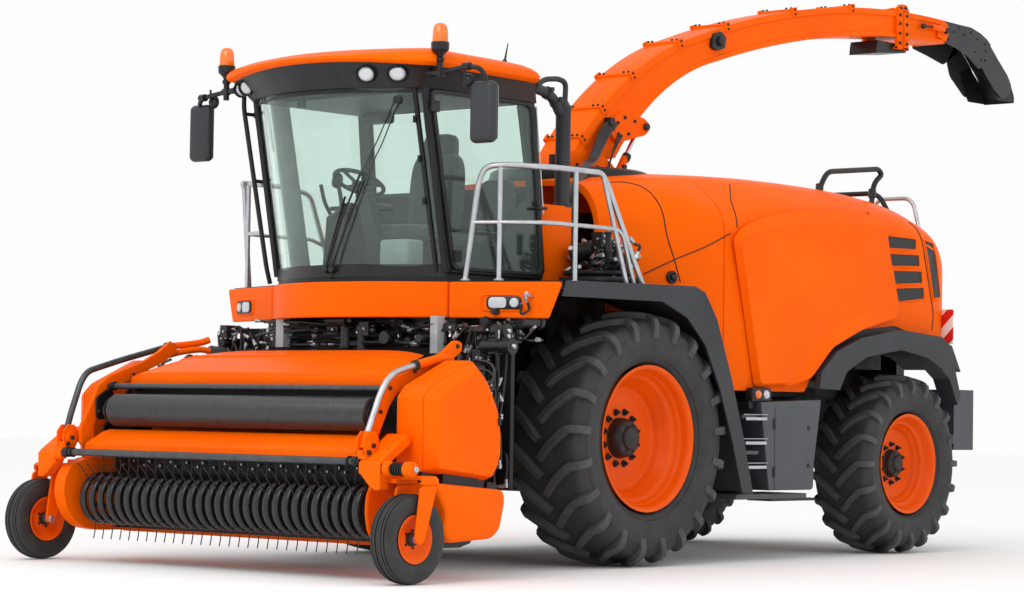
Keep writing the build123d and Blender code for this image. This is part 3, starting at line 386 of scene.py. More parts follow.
finishes = {
    # Sprayed two-pack enamel on sheet steel: deep even orange under a clear, slightly rippled gloss
    "sprayedEnamelOrange": dict(tones=("F96002", "FB6603"), blotch=900, rough=(0.34, 0.42), grain=9, depth=0.03,
                                **{"Coat Weight": 0.03, "Coat Roughness": 0.12, "Specular IOR Level": 0.03}),
    # The same enamel on castings and weldments, toned darker than the body's orange as painted shade of the dished
    # wheels: flatter, with a coarser ripple
    "sprayedEnamelRimShaded": dict(tones=("E65402", "EE5A03"), blotch=300, rough=(0.36, 0.46), grain=7, depth=0.05,
                             **{"Coat Weight": 0.08, "Coat Roughness": 0.2, "Specular IOR Level": 0.12}),
    # Glass-filled moulded polyamide: charcoal with a fine pebble and a dull sheen
    "mouldedPolyamideGrey": dict(tones=("2C2E31", "34363A"), blotch=500, rough=(0.42, 0.54), grain=3, depth=0.08,
                                 **{"Specular IOR Level": 0.35}),
    # Powder coat on steel, mid grey: slightly pimpled and satin
    "powderCoatGrey": dict(tones=("42444A", "4A4C52"), blotch=400, rough=(0.38, 0.5), grain=3, depth=0.06,
                           **{"Metallic": 0.15}),
    # Powder coat on steel, black: satin, a little dusty
    "powderCoatBlack": dict(tones=("121315", "1C1D20"), blotch=260, rough=(0.34, 0.48), grain=3, depth=0.06,
                            **{"Specular IOR Level": 0.3}),
    # Moulded ABS, black: cab trim and mirror shells, soft sheen
    "mouldedAbsBlack": dict(tones=("161719", "1F2023"), blotch=200, rough=(0.3, 0.42), grain=2.5, depth=0.03,
                            **{"Specular IOR Level": 0.35}),
    # Cured tyre rubber: near-black with brownish dust in the pores and a broken sheen
    "curedTyreRubber": dict(tones=("252526", "30302F"), blotch=120, rough=(0.56, 0.74), grain=6, depth=0.35),
    # The same rubber on the lugs, painted paler than the carcass: painted light on the lugs against the darker grooves
    # between them
    "lugRubberPaintedLight": dict(tones=("38393A", "454647"), blotch=120, rough=(0.5, 0.68), grain=6, depth=0.3),
    # Extruded hose rubber: smooth, dark, with a thin shine
    "extrudedHoseRubber": dict(tones=("131314", "1C1C1E"), blotch=80, rough=(0.34, 0.46), grain=5, depth=0.05),
    # Grey cast iron under thin black paint: rough, mottled, with dull metal showing
    "paintedCastIron": dict(tones=("1C1D1F", "33312F"), blotch=60, rough=(0.42, 0.62), grain=5, depth=0.25,
                            **{"Metallic": 0.3}),
    # Galvanised and drawn steel tube: pale grey, faint lengthwise haze
    "galvanisedSteelTube": dict(tones=("B4B8BC", "C6C9CC"), blotch=90, rough=(0.3, 0.42), grain=6, depth=0.03,
                                **{"Metallic": 0.85}),
    # Ground and chromed steel: ram rods, bolts and the pick-up's tines
    "chromedSteelRod": dict(tones=("C9CBCD", "D6D8DA"), blotch=60, rough=(0.14, 0.22), grain=4, depth=0.01,
                            **{"Metallic": 1.0}),
    # Moulded polyethylene bands, polished by the crop: very dark with a satin highlight
    "mouldedPolyethyleneBand": dict(tones=("101112", "18191A"), blotch=70, rough=(0.22, 0.32), grain=4, depth=0.04),
    # Rubber skin of the press roller, worn smooth: black with a long highlight
    "wornRollerRubber": dict(tones=("1B1C1E", "262729"), blotch=60, rough=(0.24, 0.38), grain=5, depth=0.06,
                             **{"Coat Weight": 0.3, "Coat Roughness": 0.25}),
    # Cold-drawn shafting under thin grey paint: satin, streaked along its length
    "paintedShafting": dict(tones=("46484B", "525457"), blotch=80, rough=(0.26, 0.36), grain=5, depth=0.03,
                            **{"Metallic": 0.5}),
    # Painted sheet, pale grey: uprights behind the header
    "powderCoatPale": dict(tones=("9EA1A5", "AAADB0"), blotch=120, rough=(0.4, 0.5), grain=3, depth=0.05),
}
(orange, shadedRimPaint, plasticGrey, coatGrey, coatBlack, absBlack, rubber, lugRubber, hoseRubber, castIron, tubeSteel,
 chrome, bandPlastic, rollerSkin, satinShaft, coatPale) = [makeFinish(name, **finishes[name]) for name in finishes]


def makeWindowGlass(name, tint, haze):
    # Float glass: mostly see-through with a green cast and a thin haze that varies by noise, plus a sharp
    # reflection that grows with the fifth power of the slant, the same from both faces
    material, tree = newMaterial(name)
    place = addNode(tree, "TexCoord").outputs["Object"]
    clear = addNode(tree, "BsdfTransparent", {"Color": linear(tint)}).outputs[0]
    shine = addNode(tree, "BsdfGlossy", {"Color": linear("F4FFFB"), "Roughness": 0.03}).outputs[0]
    veil = addNode(tree, "BsdfDiffuse", {"Color": linear("CFE4DC")}).outputs[0]
    ripple = addNode(tree, "TexNoise", {"Vector": place, "Scale": 3.0, "Detail": 1.0}).outputs["Fac"]
    film = addNode(tree, "MapRange", {"Value": ripple, "To Min": haze * 0.6, "To Max": haze * 1.4}).outputs[0]
    hazy = addNode(tree, "MixShader", {"Fac": film, 1: clear, 2: veil}).outputs[0]
    facing = addNode(tree, "LayerWeight", {"Blend": 0.5}).outputs["Facing"]
    graze = addNode(tree, "Math", {0: facing, 1: 5.0}, operation="POWER").outputs[0]
    edge = addNode(tree, "MapRange", {"Value": graze, "To Min": 0.035, "To Max": 0.9}).outputs[0]
    pane = addNode(tree, "MixShader", {"Fac": edge, 1: hazy, 2: shine}).outputs[0]
    addNode(tree, "OutputMaterial", {"Surface": pane})
    return material


# Tinted float glass: clear with a faint green cast
glass = makeWindowGlass("tintedFloatGlass", "F1F8F5", 0.02)


def makeLens(name, tone, glow, ribs):
    # Moulded polycarbonate: coloured, glossy, with a broad waffle (ribs, cm) pressed in from the greater of two
    # waves, along x and along z
    material, tree = newMaterial(name)
    place = addNode(tree, "TexCoord").outputs["Object"]
    waves = [addNode(tree, "TexWave", {"Vector": place, "Scale": 314 / ribs / 10}, bands_direction=way).outputs["Fac"]
             for way in ("X", "Z")]
    waffle = addNode(tree, "Math", {0: waves[0], 1: waves[1]}, operation="MAXIMUM").outputs[0]
    relief = addNode(tree, "Bump", {"Height": waffle, "Distance": 0.002, "Strength": 0.7}).outputs[0]
    body = addNode(tree, "BsdfPrincipled", {"Base Color": linear(tone), "Roughness": 0.12, "Normal": relief,
                                            "Coat Weight": 0.6, "Emission Color": linear(tone),
                                            "Emission Strength": glow, "Subsurface Weight": 0.15})
    addNode(tree, "OutputMaterial", {"Surface": body.outputs[0]})
    return material


amberLens = makeLens("mouldedPolycarbonateAmber", "DC700A", 0.1, 6)
clearLens = makeLens("mouldedPolycarbonateClear", "C4C9CC", 0.0, 9)
redLens = makeLens("mouldedPolycarbonateRed", "B81410", 0.1, 6)


def makeStripedSheet(name):
    # Reflective sheet: red where x less z, along the slant and divided by the stripe's pitch, has a fraction over
    # one half; small raised cells break up its sheen
    material, tree = newMaterial(name)
    place = addNode(tree, "TexCoord").outputs["Object"]
    slant, stripePitch = 0.7071, 0.15
    along = addNode(tree, "VectorMath", {0: place, 1: (slant, 0.0, -slant)}, operation="DOT_PRODUCT").outputs["Value"]
    turns = addNode(tree, "Math", {0: along, 1: 1 / stripePitch}, operation="MULTIPLY").outputs[0]
    part = addNode(tree, "Math", {0: turns}, operation="FRACT").outputs[0]
    red = addNode(tree, "Math", {0: part, 1: 0.5}, operation="GREATER_THAN").outputs[0]
    colour = addNode(tree, "Mix", {"Factor": red, 6: linear("F0EFEC"), 7: linear("D8281E")},
                     data_type="RGBA").outputs[2]
    cells = addNode(tree, "TexVoronoi", {"Vector": place, "Scale": 260.0}).outputs["Distance"]
    relief = addNode(tree, "Bump", {"Height": cells, "Distance": 0.0004, "Strength": 0.6}).outputs[0]
    body = addNode(tree, "BsdfPrincipled", {"Base Color": colour, "Roughness": 0.28, "Normal": relief})
    addNode(tree, "OutputMaterial", {"Surface": body.outputs[0]})
    return material


stripes = makeStripedSheet("retroreflectiveSheeting")


def makeWire(name, tone, pitch):
    # Pressed screen: a square net (pitch, mm), from the distance to the nearest of a grid of points; its holes are
    # painted near-black as painted shade of the opening behind
    material, tree = newMaterial(name)
    place = addNode(tree, "TexCoord").outputs["Object"]
    cells = addNode(tree, "TexVoronoi", {"Vector": place, "Scale": 1000 / pitch, "Randomness": 0.0}).outputs["Distance"]
    web = addNode(tree, "MapRange", {"Value": cells, "From Min": 0.35, "From Max": 0.45}).outputs[0]
    # The holes' near-black is painted shade
    colour = addNode(tree, "Mix", {"Factor": web, 6: linear("060606"), 7: linear(tone)}, data_type="RGBA").outputs[2]
    relief = addNode(tree, "Bump", {"Height": web, "Distance": 0.003, "Strength": 1.0}).outputs[0]
    body = addNode(tree, "BsdfPrincipled", {"Base Color": colour, "Roughness": 0.5, "Normal": relief})
    addNode(tree, "OutputMaterial", {"Surface": body.outputs[0]})
    return material


screen = makeWire("pressedScreenShadedHoles", "2C2D2F", 12)


def makeSeatCloth(name):
    # Woven upholstery: the product of two crossed waves lifts threads and mottles the grey; the waves stand 3 mm
    # apart, coarser than real threads, so that the weave shows
    material, tree = newMaterial(name)
    place = addNode(tree, "TexCoord").outputs["Object"]
    wave = {"Vector": place, "Scale": 105.0, "Distortion": 0.4}
    warp, weft = (addNode(tree, "TexWave", wave, bands_direction=way).outputs["Fac"] for way in ("X", "Z"))
    weave = addNode(tree, "Math", {0: warp, 1: weft}, operation="MULTIPLY").outputs[0]
    colour = addNode(tree, "Mix", {"Factor": weave, 6: linear("2A2F33"), 7: linear("4A5358")},
                     data_type="RGBA").outputs[2]
    relief = addNode(tree, "Bump", {"Height": weave, "Distance": 0.001, "Strength": 0.8}).outputs[0]
    body = addNode(tree, "BsdfPrincipled", {"Base Color": colour, "Roughness": 0.9, "Normal": relief,
                                            "Sheen Weight": 0.3})
    addNode(tree, "OutputMaterial", {"Surface": body.outputs[0]})
    return material


seatCloth = makeSeatCloth("wovenUpholstery")
nodeFinish = {"orange_panel": orange, "grey_panel": plasticGrey, "black_panel": coatBlack, "frame_paint": coatBlack,
              "tyre_rubber": rubber, "rim_paint": shadedRimPaint, "window_glass": glass, "cab_trim": absBlack,
              "castings": castIron, "rail_paint": tubeSteel, "band_plastic": bandPlastic, "bare_steel": chrome}
for node, piece in nodes.items():
    piece.data.materials.clear()
    piece.data.materials.append(nodeFinish[slotOf[node]])
nodes["platform_frame"].data.materials[0] = coatPale
nodes["spout_ram_barrel"].data.materials[0] = orange
print("finishes made:", len(bpy.data.materials))

studio = dict(cameraAt=(14.528, -18.674, 1.146), turn=40.91, tilt=2.259, roll=0.913, lens=99.41,
              keyPower=620, fillPower=70, worldLight=1.0)


def makeStudio():
    # The camera's axes: forward from its turn and tilt, right level, and both turned by the roll
    turn, tilt, roll = (math.radians(studio[key]) for key in ("turn", "tilt", "roll"))
    forward = np.array([-math.sin(turn) * math.cos(tilt), math.cos(turn) * math.cos(tilt), math.sin(tilt)])
    right = np.array([math.cos(turn), math.sin(turn), 0])
    up = np.cross(right, forward)
    right, up = math.cos(roll) * right + math.sin(roll) * up, math.cos(roll) * up - math.sin(roll) * right
    camera = bpy.data.objects.new("camera", bpy.data.cameras.new("camera"))
    camera.data.lens, camera.data.sensor_width = studio["lens"], 36
    camera.data.clip_end = 200
    matrix = np.eye(4)
    matrix[:3, :3] = np.column_stack([right, up, -forward])
    matrix[:3, 3] = studio["cameraAt"]
    camera.matrix_world = Matrix(matrix.tolist())
    bpy.context.scene.collection.objects.link(camera)
    bpy.context.scene.camera = camera

    for name, place, size, power in (("keyLight", (2.5, -13.0, 11.0), 9.0, studio["keyPower"]),
                                     ("fillLight", (15.0, -2.0, 8.0), 9.0, studio["fillPower"])):
        light = bpy.data.objects.new(name, bpy.data.lights.new(name, "AREA"))
        light.data.shape, light.data.size, light.data.energy = "DISK", size, power
        away = np.array(place) - (0, 0, 1.6)
        u, v, w = basis(away)
        placed = np.eye(4)
        placed[:3, :3], placed[:3, 3] = np.column_stack([u, v, w]), place
        light.matrix_world = Matrix(placed.tolist())
        bpy.context.scene.collection.objects.link(light)

    world = bpy.context.scene.world or bpy.data.worlds.new("studioWorld")
    bpy.context.scene.world = world
    world.use_nodes = True
    world.node_tree.nodes.clear()
    place = addNode(world.node_tree, "TexCoord").outputs["Generated"]
    height = addNode(world.node_tree, "SeparateXYZ", {0: place}).outputs["Z"]
    rise = addNode(world.node_tree, "MapRange", {"Value": height, "From Min": -0.2, "From Max": 0.9,
                                                 "To Min": 0.0, "To Max": 1.0}).outputs[0]
    sky = addNode(world.node_tree, "Mix", {"Factor": rise, 6: (0.985, 0.985, 0.985, 1), 7: (1, 1, 1, 1)},
                  data_type="RGBA").outputs[2]
    glow = addNode(world.node_tree, "Background", {"Color": sky, "Strength": studio["worldLight"]}).outputs[0]
    addNode(world.node_tree, "OutputWorld", {"Surface": glow})

    floorFinish, tree = newMaterial("studioPaper")
    place = addNode(tree, "TexCoord").outputs["Object"]
    mottle = addNode(tree, "TexNoise", {"Vector": place, "Scale": 0.7, "Detail": 2.0}).outputs["Fac"]
    colour = addNode(tree, "Mix", {"Factor": mottle, 6: linear("F7F7F6"), 7: linear("FBFBFB")},
                     data_type="RGBA").outputs[2]
    body = addNode(tree, "BsdfPrincipled", {"Base Color": colour, "Roughness": 0.85})
    addNode(tree, "OutputMaterial", {"Surface": body.outputs[0]})
    mesh = bpy.data.meshes.new("floor")
    half = 60
    mesh.from_pydata([(-half, -half, 0), (half, -half, 0), (half, half, 0), (-half, half, 0)], [], [(0, 1, 2, 3)])
    mesh.materials.append(floorFinish)
    floor = bpy.data.objects.new("floor", mesh)
    bpy.context.scene.collection.objects.link(floor)
    bpy.context.scene.view_settings.view_transform = "Standard"


makeStudio()
print("studio ready")


def tyreProfile(knots):
    # A smooth line through (x, radius) knots, as points and its outward normals
    line = curvedPath(knots, 10)
    ahead = np.gradient(line, axis=0)
    ahead /= np.linalg.norm(ahead, axis=1, keepdims=True)
    return line, np.stack([-ahead[:, 1], ahead[:, 0]], -1)


def wrap(x, radius, turn, centre):
    # Turns (x, radius, angle) into points about an axle along x: angle 0 is on top and grows towards the front
    x, radius, turn = np.broadcast_arrays(x, radius, turn)
    return np.stack([x + centre[0], centre[1] - radius * np.sin(turn), centre[2] + radius * np.cos(turn)], -1)


def makeTyre(name, body, node, tyre):
    # The carcass is a smooth profile turned about the axle. A lug is a tapered profile carried along a path over
    # the carcass: from the middle out at a slant, then straight out over the shoulder and down the side wall
    centre = tyre["centre"]
    line, normals = tyreProfile(tyre["knots"])
    turn = np.linspace(0, 2 * math.pi, 144, endpoint=False)
    whole = np.concatenate([line[::-1] * (-1, 1), line[1:]])
    carcass = grid(wrap(whole[:, :1], whole[:, 1:], turn[None, :], centre), closeColumns=True)
    length = np.concatenate([[0], np.cumsum(np.linalg.norm(np.diff(line, axis=0), axis=1))])
    s = np.linspace(0, 1, 15)[:, None]
    reach = tyre["start"] + (tyre["end"] - tyre["start"]) * s
    kink = tyre["kink"]
    slant = np.where(reach < kink, (kink - reach) / (kink - tyre["start"]), 0)
    sweepBack = tyre["lead"] * (0.75 * slant + 0.25 * slant ** 2)
    width = (tyre["width"][0] + (tyre["width"][1] - tyre["width"][0]) * s) / 2
    drop = np.clip((tyre["end"] - reach) / (tyre["end"] - tyre["shoulder"]), 0, 1)
    height = tyre["height"] * (0.12 + 0.88 * ease(drop)) * np.clip(0.75 + s * 6, 0, 1)
    across = np.array([-1.5, -1.22, -1.06, -0.9, 0.9, 1.06, 1.22, 1.5])[None, :]
    up = np.array([-0.25, 0.0, 0.9, 1.0, 1.0, 0.9, 0.0, -0.25])[None, :]
    stepU, stepC = np.gradient(reach[:, 0]), np.gradient(sweepBack[:, 0])
    size = np.hypot(stepU, stepC)
    u = reach + (-stepC / size)[:, None] * across * width
    c = sweepBack + (stepU / size)[:, None] * across * width
    u = np.clip(u, -0.02, tyre["end"] * 1.02)
    at = [np.interp(np.abs(u), length, column) for column in (line[:, 0], line[:, 1], normals[:, 0], normals[:, 1])]
    x, radius = (at[0] + at[2] * height * up) * np.sign(u + 1e-9), at[1] + at[3] * height * up
    lugs = []
    for out, offset in ((1, 0.0), (-1, 0.5)):
        for k in range(tyre["lugs"]):
            angle = c / tyre["radius"] + 2 * math.pi * (k + offset) / tyre["lugs"]
            lugs.append(grid(wrap(out * x, radius, angle, centre), closeColumns=True, capEnds=True))
    rings = []
    for r, out, thick in tyre["rings"]:
        ringLine = ring(thick, 8)
        turn8 = np.linspace(0, 2 * math.pi, 96, endpoint=False)
        for way in (1, -1):
            rings.append(grid(wrap(way * (out + ringLine[:, :1]), r + ringLine[:, 1:], turn8[None, :], centre),
                              closeRows=True, closeColumns=True))
    addPiece(name + "_carcass", join(carcass, *rings), body, rubber, smooth=60, replaces=(node,))
    # The lugs' paler rubber is painted light, set against the darker carcass in the grooves between them
    addPiece(name + "_lugs", join(*lugs), body, lugRubber, smooth=28)


driveTyre = dict(radius=0.96, lugs=21, start=0.004, kink=0.262, shoulder=0.318, end=0.445, lead=0.235,
                 width=(0.05, 0.066), height=0.047,
                 knots=[(0, 0.913), (0.12, 0.910), (0.22, 0.900), (0.29, 0.882), (0.325, 0.845), (0.343, 0.79),
                        (0.345, 0.735), (0.337, 0.67), (0.315, 0.61), (0.284, 0.573), (0.255, 0.553)],
                 rings=[(0.605, 0.313, 0.006), (0.79, 0.342, 0.004)])
steerTyre = dict(radius=0.758, lugs=20, start=0.004, kink=0.212, shoulder=0.258, end=0.362, lead=0.195,
                 width=(0.042, 0.056), height=0.04,
                 knots=[(0, 0.718), (0.1, 0.715), (0.18, 0.706), (0.235, 0.692), (0.264, 0.66), (0.279, 0.615),
                        (0.28, 0.57), (0.272, 0.515), (0.252, 0.465), (0.228, 0.44), (0.206, 0.425)],
                 rings=[(0.463, 0.250, 0.005), (0.61, 0.278, 0.0035)])

driveRim = dict(profile=[(0.014, 0.10), (0.018, 0.372), (0.03, 0.392), (0.068, 0.408), (0.10, 0.428), (0.148, 0.452),
                         (0.165, 0.478), (0.20, 0.489), (0.215, 0.502), (0.262, 0.510), (0.284, 0.522), (0.299, 0.550),
                         (0.289, 0.553), (0.262, 0.531), (0.225, 0.526), (0.18, 0.50), (0.13, 0.466), (-0.02, 0.424),
                         (-0.13, 0.492), (-0.18, 0.526), (-0.262, 0.531), (-0.286, 0.552), (-0.30, 0.55),
                         (-0.268, 0.512), (-0.185, 0.508), (-0.14, 0.478), (-0.03, 0.40), (-0.012, 0.372),
                         (-0.012, 0.10), (0.014, 0.10)],
                hub=[(0.015, 0.155), (0.022, 0.155), (0.028, 0.15), (0.06, 0.148), (0.088, 0.14), (0.104, 0.128),
                     (0.112, 0.122), (0.112, 0.092), (0.118, 0.088), (0.13, 0.086), (0.138, 0.078), (0.142, 0.02),
                     (0.142, 0.0)],
                back=[(-0.012, 0.19), (-0.034, 0.19), (-0.04, 0.12), (-0.04, 0.0)],
                nuts=12, nutCircle=0.2, nutAt=0.017, nut=0.021, capBolts=(8, 0.106, 0.112, 0.009))
steerRim = dict(profile=[(0.058, 0.08), (0.06, 0.28), (0.072, 0.296), (0.10, 0.308), (0.12, 0.326), (0.15, 0.334),
                         (0.16, 0.358), (0.185, 0.370), (0.214, 0.384), (0.233, 0.394), (0.246, 0.420), (0.236, 0.423),
                         (0.214, 0.403), (0.18, 0.398), (0.14, 0.352), (0.06, 0.324), (0.0, 0.330), (-0.08, 0.396),
                         (-0.214, 0.403), (-0.234, 0.422), (-0.245, 0.42), (-0.216, 0.386), (-0.09, 0.38),
                         (-0.01, 0.312), (0.036, 0.296), (0.036, 0.08), (0.058, 0.08)],
                hub=[(0.059, 0.122), (0.066, 0.122), (0.07, 0.115), (0.1, 0.112), (0.118, 0.104), (0.124, 0.092),
                     (0.124, 0.07), (0.13, 0.066), (0.14, 0.064), (0.147, 0.054), (0.15, 0.012), (0.15, 0.0)],
                back=[(0.036, 0.15), (0.016, 0.15), (0.01, 0.12), (0.01, 0.0)],
                nuts=10, nutCircle=0.162, nutAt=0.06, nut=0.018, capBolts=(8, 0.081, 0.124, 0.007))


def makeRim(name, body, node, rim, centre, out):
    # A dished disc and its barrel as one closed profile turned about the axle, a stepped hub and rings of nuts
    profile = roundedPath([(x, r, 0) for x, r in rim["profile"]], 0.007, 3)[:, :2]
    barrel = spin(profile * (out, 1), centre, 112)
    hub = spin(roundedPath([(x, r, 0) for x, r in rim["hub"]], 0.005, 3)[:, :2] * (out, 1), centre, 64)
    back = spin(np.array(rim["back"]) * (out, 1), centre, 48)

    def circle(count, radius, x):
        turn = (np.arange(count) + 0.5) * 2 * math.pi / count
        return np.stack([np.full(count, centre[0] + out * x), centre[1] + radius * np.cos(turn),
                         centre[2] + radius * np.sin(turn)], -1)

    capCount, capCircle, capAt, capSize = rim["capBolts"]
    nutRing, studRing = (circle(rim["nuts"], rim["nutCircle"], rim["nutAt"] + off) for off in (0.0, 0.02))
    heads = [bolts(places, (out, 0, 0), size, height, sides) for places, size, height, sides in
             ((nutRing, rim["nut"], 0.024, 6), (studRing, rim["nut"] * 0.5, 0.022, 10),
              (nutRing, rim["nut"] * 1.35, 0.006, 16), (circle(capCount, capCircle, capAt), capSize, 0.007, 6))]
    # The rim's orange is darker than the body's: painted shade of the dished wheel
    addPiece(name + "_rim", barrel, body, shadedRimPaint, smooth=35, replaces=(node,))
    addPiece(name + "_hub", join(hub, back, *heads), body, castIron, smooth=32)


for side, out in (("left", 1), ("right", -1)):
    driveCentre, steerCentre = (out * 1.16, 0.0, 0.96), (out * 1.145, 3.65, 0.758)
    makeTyre("front_tyre_" + side, "front_wheel_" + side, "front_tyre_" + side, dict(driveTyre, centre=driveCentre))
    makeTyre("rear_tyre_" + side, "rear_wheel_" + side, "rear_tyre_" + side, dict(steerTyre, centre=steerCentre))
    makeRim("front_" + side, "front_wheel_" + side, "front_rim_" + side, driveRim, driveCentre, out)
    makeRim("rear_" + side, "rear_wheel_" + side, "rear_rim_" + side, steerRim, steerCentre, out)
print("drive and steer wheels made")

gaugeTyre = dict(tread=[(0.0, 0.292), (0.008, 0.292), (0.009, 0.284), (0.015, 0.284), (0.016, 0.297), (0.034, 0.2965),
                        (0.035, 0.286), (0.041, 0.286), (0.042, 0.295), (0.056, 0.292), (0.057, 0.281), (0.062, 0.280),
                        (0.064, 0.288), (0.073, 0.279), (0.080, 0.262), (0.0825, 0.235), (0.081, 0.208),
                        (0.076, 0.186), (0.070, 0.172), (0.064, 0.166), (0.060, 0.150)],
                 rim=[(0.062, 0.150), (0.070, 0.160), (0.073, 0.163), (0.075, 0.158), (0.071, 0.148), (0.060, 0.132),
                      (0.045, 0.118), (0.028, 0.098), (0.024, 0.086), (0.03, 0.070), (0.03, 0.045), (0.03, 0.03)],
                 hub=[(0.0, 0.046), (0.052, 0.046), (0.066, 0.042), (0.075, 0.034), (0.077, 0.03)])


def makeGaugeWheel(side, out):
    # Tyre, rim and hub, each a profile turned about the axle; the tread's profile has three grooves a side
    centre = (out * 1.855, -3.058, 0.3)
    half = np.array(gaugeTyre["tread"])
    addPiece("gauge_tyre_" + side, spin(np.concatenate([half[::-1] * (-1, 1), half]), centre, 96),
             "gauge_wheel_" + side, rubber, smooth=24, replaces=("gauge_wheel_" + side,))
    dish = np.array(gaugeTyre["rim"])
    faces = [spin(dish * (way, 1), centre, 72) for way in (1, -1)]
    well = spin([(-0.062, 0.15), (0.062, 0.15)], centre, 72)
    # The rim's darker orange is painted shade
    addPiece("gauge_rim_" + side, join(*faces, well), "gauge_wheel_" + side, shadedRimPaint, smooth=35)
    hubs = [spin(np.array(gaugeTyre["hub"]) * (way, 1), centre, 48) for way in (1, -1)]
    nutCount, nutCircle = 5, 0.06
    turn = np.arange(nutCount) * 2 * math.pi / nutCount
    nuts = [bolts(np.stack([np.full(nutCount, centre[0] + way * 0.03), centre[1] + nutCircle * np.cos(turn),
                            centre[2] + nutCircle * np.sin(turn)], -1), (way, 0, 0), 0.009, 0.012) for way in (1, -1)]
    addPiece("gauge_hub_" + side, join(*hubs, *nuts), "gauge_wheel_" + side, castIron, smooth=32)


for side, out in (("left", 1), ("right", -1)):
    makeGaugeWheel(side, out)
print("gauge wheels made")
reel = dict(centre=(-3.02, 0.48), tineTip=0.305, barCircle=0.055, tineWire=0.0042, bandCentre=(-2.93, 0.47),
            bandRadius=0.19,
            pitch=0.095, first=-14, last=15)


def makeBands():
    # A domed section carried along one line from the floor, round the front of the reel and back to the beam;
    # the same band stands at every pitch across
    y, z = reel["bandCentre"]
    turn = np.linspace(math.pi / 2, 3 * math.pi / 2, 29)
    arc = np.stack([y + reel["bandRadius"] * np.cos(turn), z + reel["bandRadius"] * np.sin(turn)], -1)
    line = np.concatenate([[(-2.601, z + 0.17)], arc, [(-2.601, z - 0.21)]])
    path = np.column_stack([np.zeros(len(line)), line])
    section = [(-0.030, -0.022), (-0.030, -0.010), (-0.026, -0.003), (-0.014, 0.0), (0, 0.001), (0.014, 0.0),
               (0.026, -0.003), (0.030, -0.010), (0.030, -0.022)]
    points, faces = carry(path, section, up=(0, 0, 1))
    places = np.arange(reel["first"], reel["last"] + 1) * reel["pitch"]
    addPiece("stripper_bands_domed", join(*[(points + (x, 0, 0), faces) for x in places]), "header", bandPlastic,
             smooth=50, replaces=("stripper_bands",))
    # A black floor behind the bands and below the press, its black standing in as painted shade in the gaps between the
    # bands, with the tine bars' clamps on it
    floor = [boxShape((-1.44, -2.705, 0.28), (1.44, -2.68, 0.90)), boxShape((-1.44, -2.70, 0.245), (1.44, -2.58, 0.30)),
             boxShape((-1.40, -2.60, 1.0), (1.40, -2.56, 1.31))]
    addPiece("reel_shade_backing", join(*floor), "header", coatBlack, bevel=0.003)
    clamps = bolts([(x + 0.02 * (k % 3), -2.707, 0.71 + 0.03 * (k % 2)) for k, x in enumerate(places)], (0, -1, 0),
                   0.012, 0.02)
    addPiece("reel_clamps", clamps, "header", tubeSteel, smooth=30)


def makeTines():
    # Spring tines: each a wire out from its bar, turned by a little more with the cube of its length, in three rows
    y, z = reel["centre"]
    s = np.linspace(0, 1, 6)
    radius = reel["barCircle"] + (reel["tineTip"] - reel["barCircle"]) * s
    places = (np.arange(reel["first"], reel["last"]) + 0.5) * reel["pitch"]
    wires = []
    bend = {-90: -2, 72: 5, 122: 3}  # each row's place in degrees, and how much its tines bend
    for row, much in bend.items():
        turn = math.radians(row) + 0.03 * much * s ** 3
        line = np.stack([np.zeros(6), y + radius * np.cos(turn), z + radius * np.sin(turn)], -1)
        points, faces = carry(line, ring(reel["tineWire"], 6))
        wires += [(points + (x, 0, 0), faces) for x in places]
    bars = [tube([(x, y + reel["barCircle"] * math.cos(a), z + reel["barCircle"] * math.sin(a))
                  for x in places[[0, -1]]],
                 0.012, sides=10) for a in np.radians(list(bend))]
    addPiece("tines", join(*wires), "tine_reel", castIron, smooth=60)
    addPiece("tine_bars", join(*bars), "tine_reel", coatBlack, smooth=40, replaces=("tine_reel",))


def makeRoller():
    # A drum whose radius steps in and out along its length, with a plain disc and stub at each end
    centre, pitch = (0, -2.85, 1.11), 0.02
    edges = np.arange(-1.26, 1.341, pitch)
    profile = np.concatenate([[(x + 0.001, 0.118), (x + 0.005, 0.121), (x + 0.014, 0.121), (x + 0.018, 0.118)]
                              for x in edges[:-1]])
    whole = np.concatenate([[(-1.285, 0.0), (-1.285, 0.07), (-1.27, 0.1), (-1.26, 0.118)], profile,
                            [(1.34, 0.118), (1.352, 0.1), (1.356, 0.07), (1.356, 0.0)]])
    addPiece("press_roller_ribbed", spin(whole, centre, 56), "press_roller", rollerSkin, smooth=45,
             replaces=("press_roller",))
    stubs = [stub(a, b, r, centre, 24)
             for a, b, r in ((1.356, 1.394, 0.04), (-1.394, -1.285, 0.04), (1.358, 1.366, 0.09), (-1.31, -1.3, 0.1))]
    addPiece("press_roller_ends", join(*stubs), "press_roller", castIron, smooth=30)


headerHood = dict(rows=[(-2.69, 1.300, 1.298), (-2.714, 1.322, 1.302), (-2.718, 1.330, 1.325), (-2.712, 1.330, 1.385),
                        (-2.690, 1.322, 1.402), (-2.50, 1.262, 1.470), (-2.365, 1.205, 1.512), (-2.345, 1.195, 1.528),
                        (-2.2, 1.112, 1.552), (-2.12, 1.06, 1.564), (-2.06, 1.01, 1.568), (-2.04, 0.99, 1.562)])


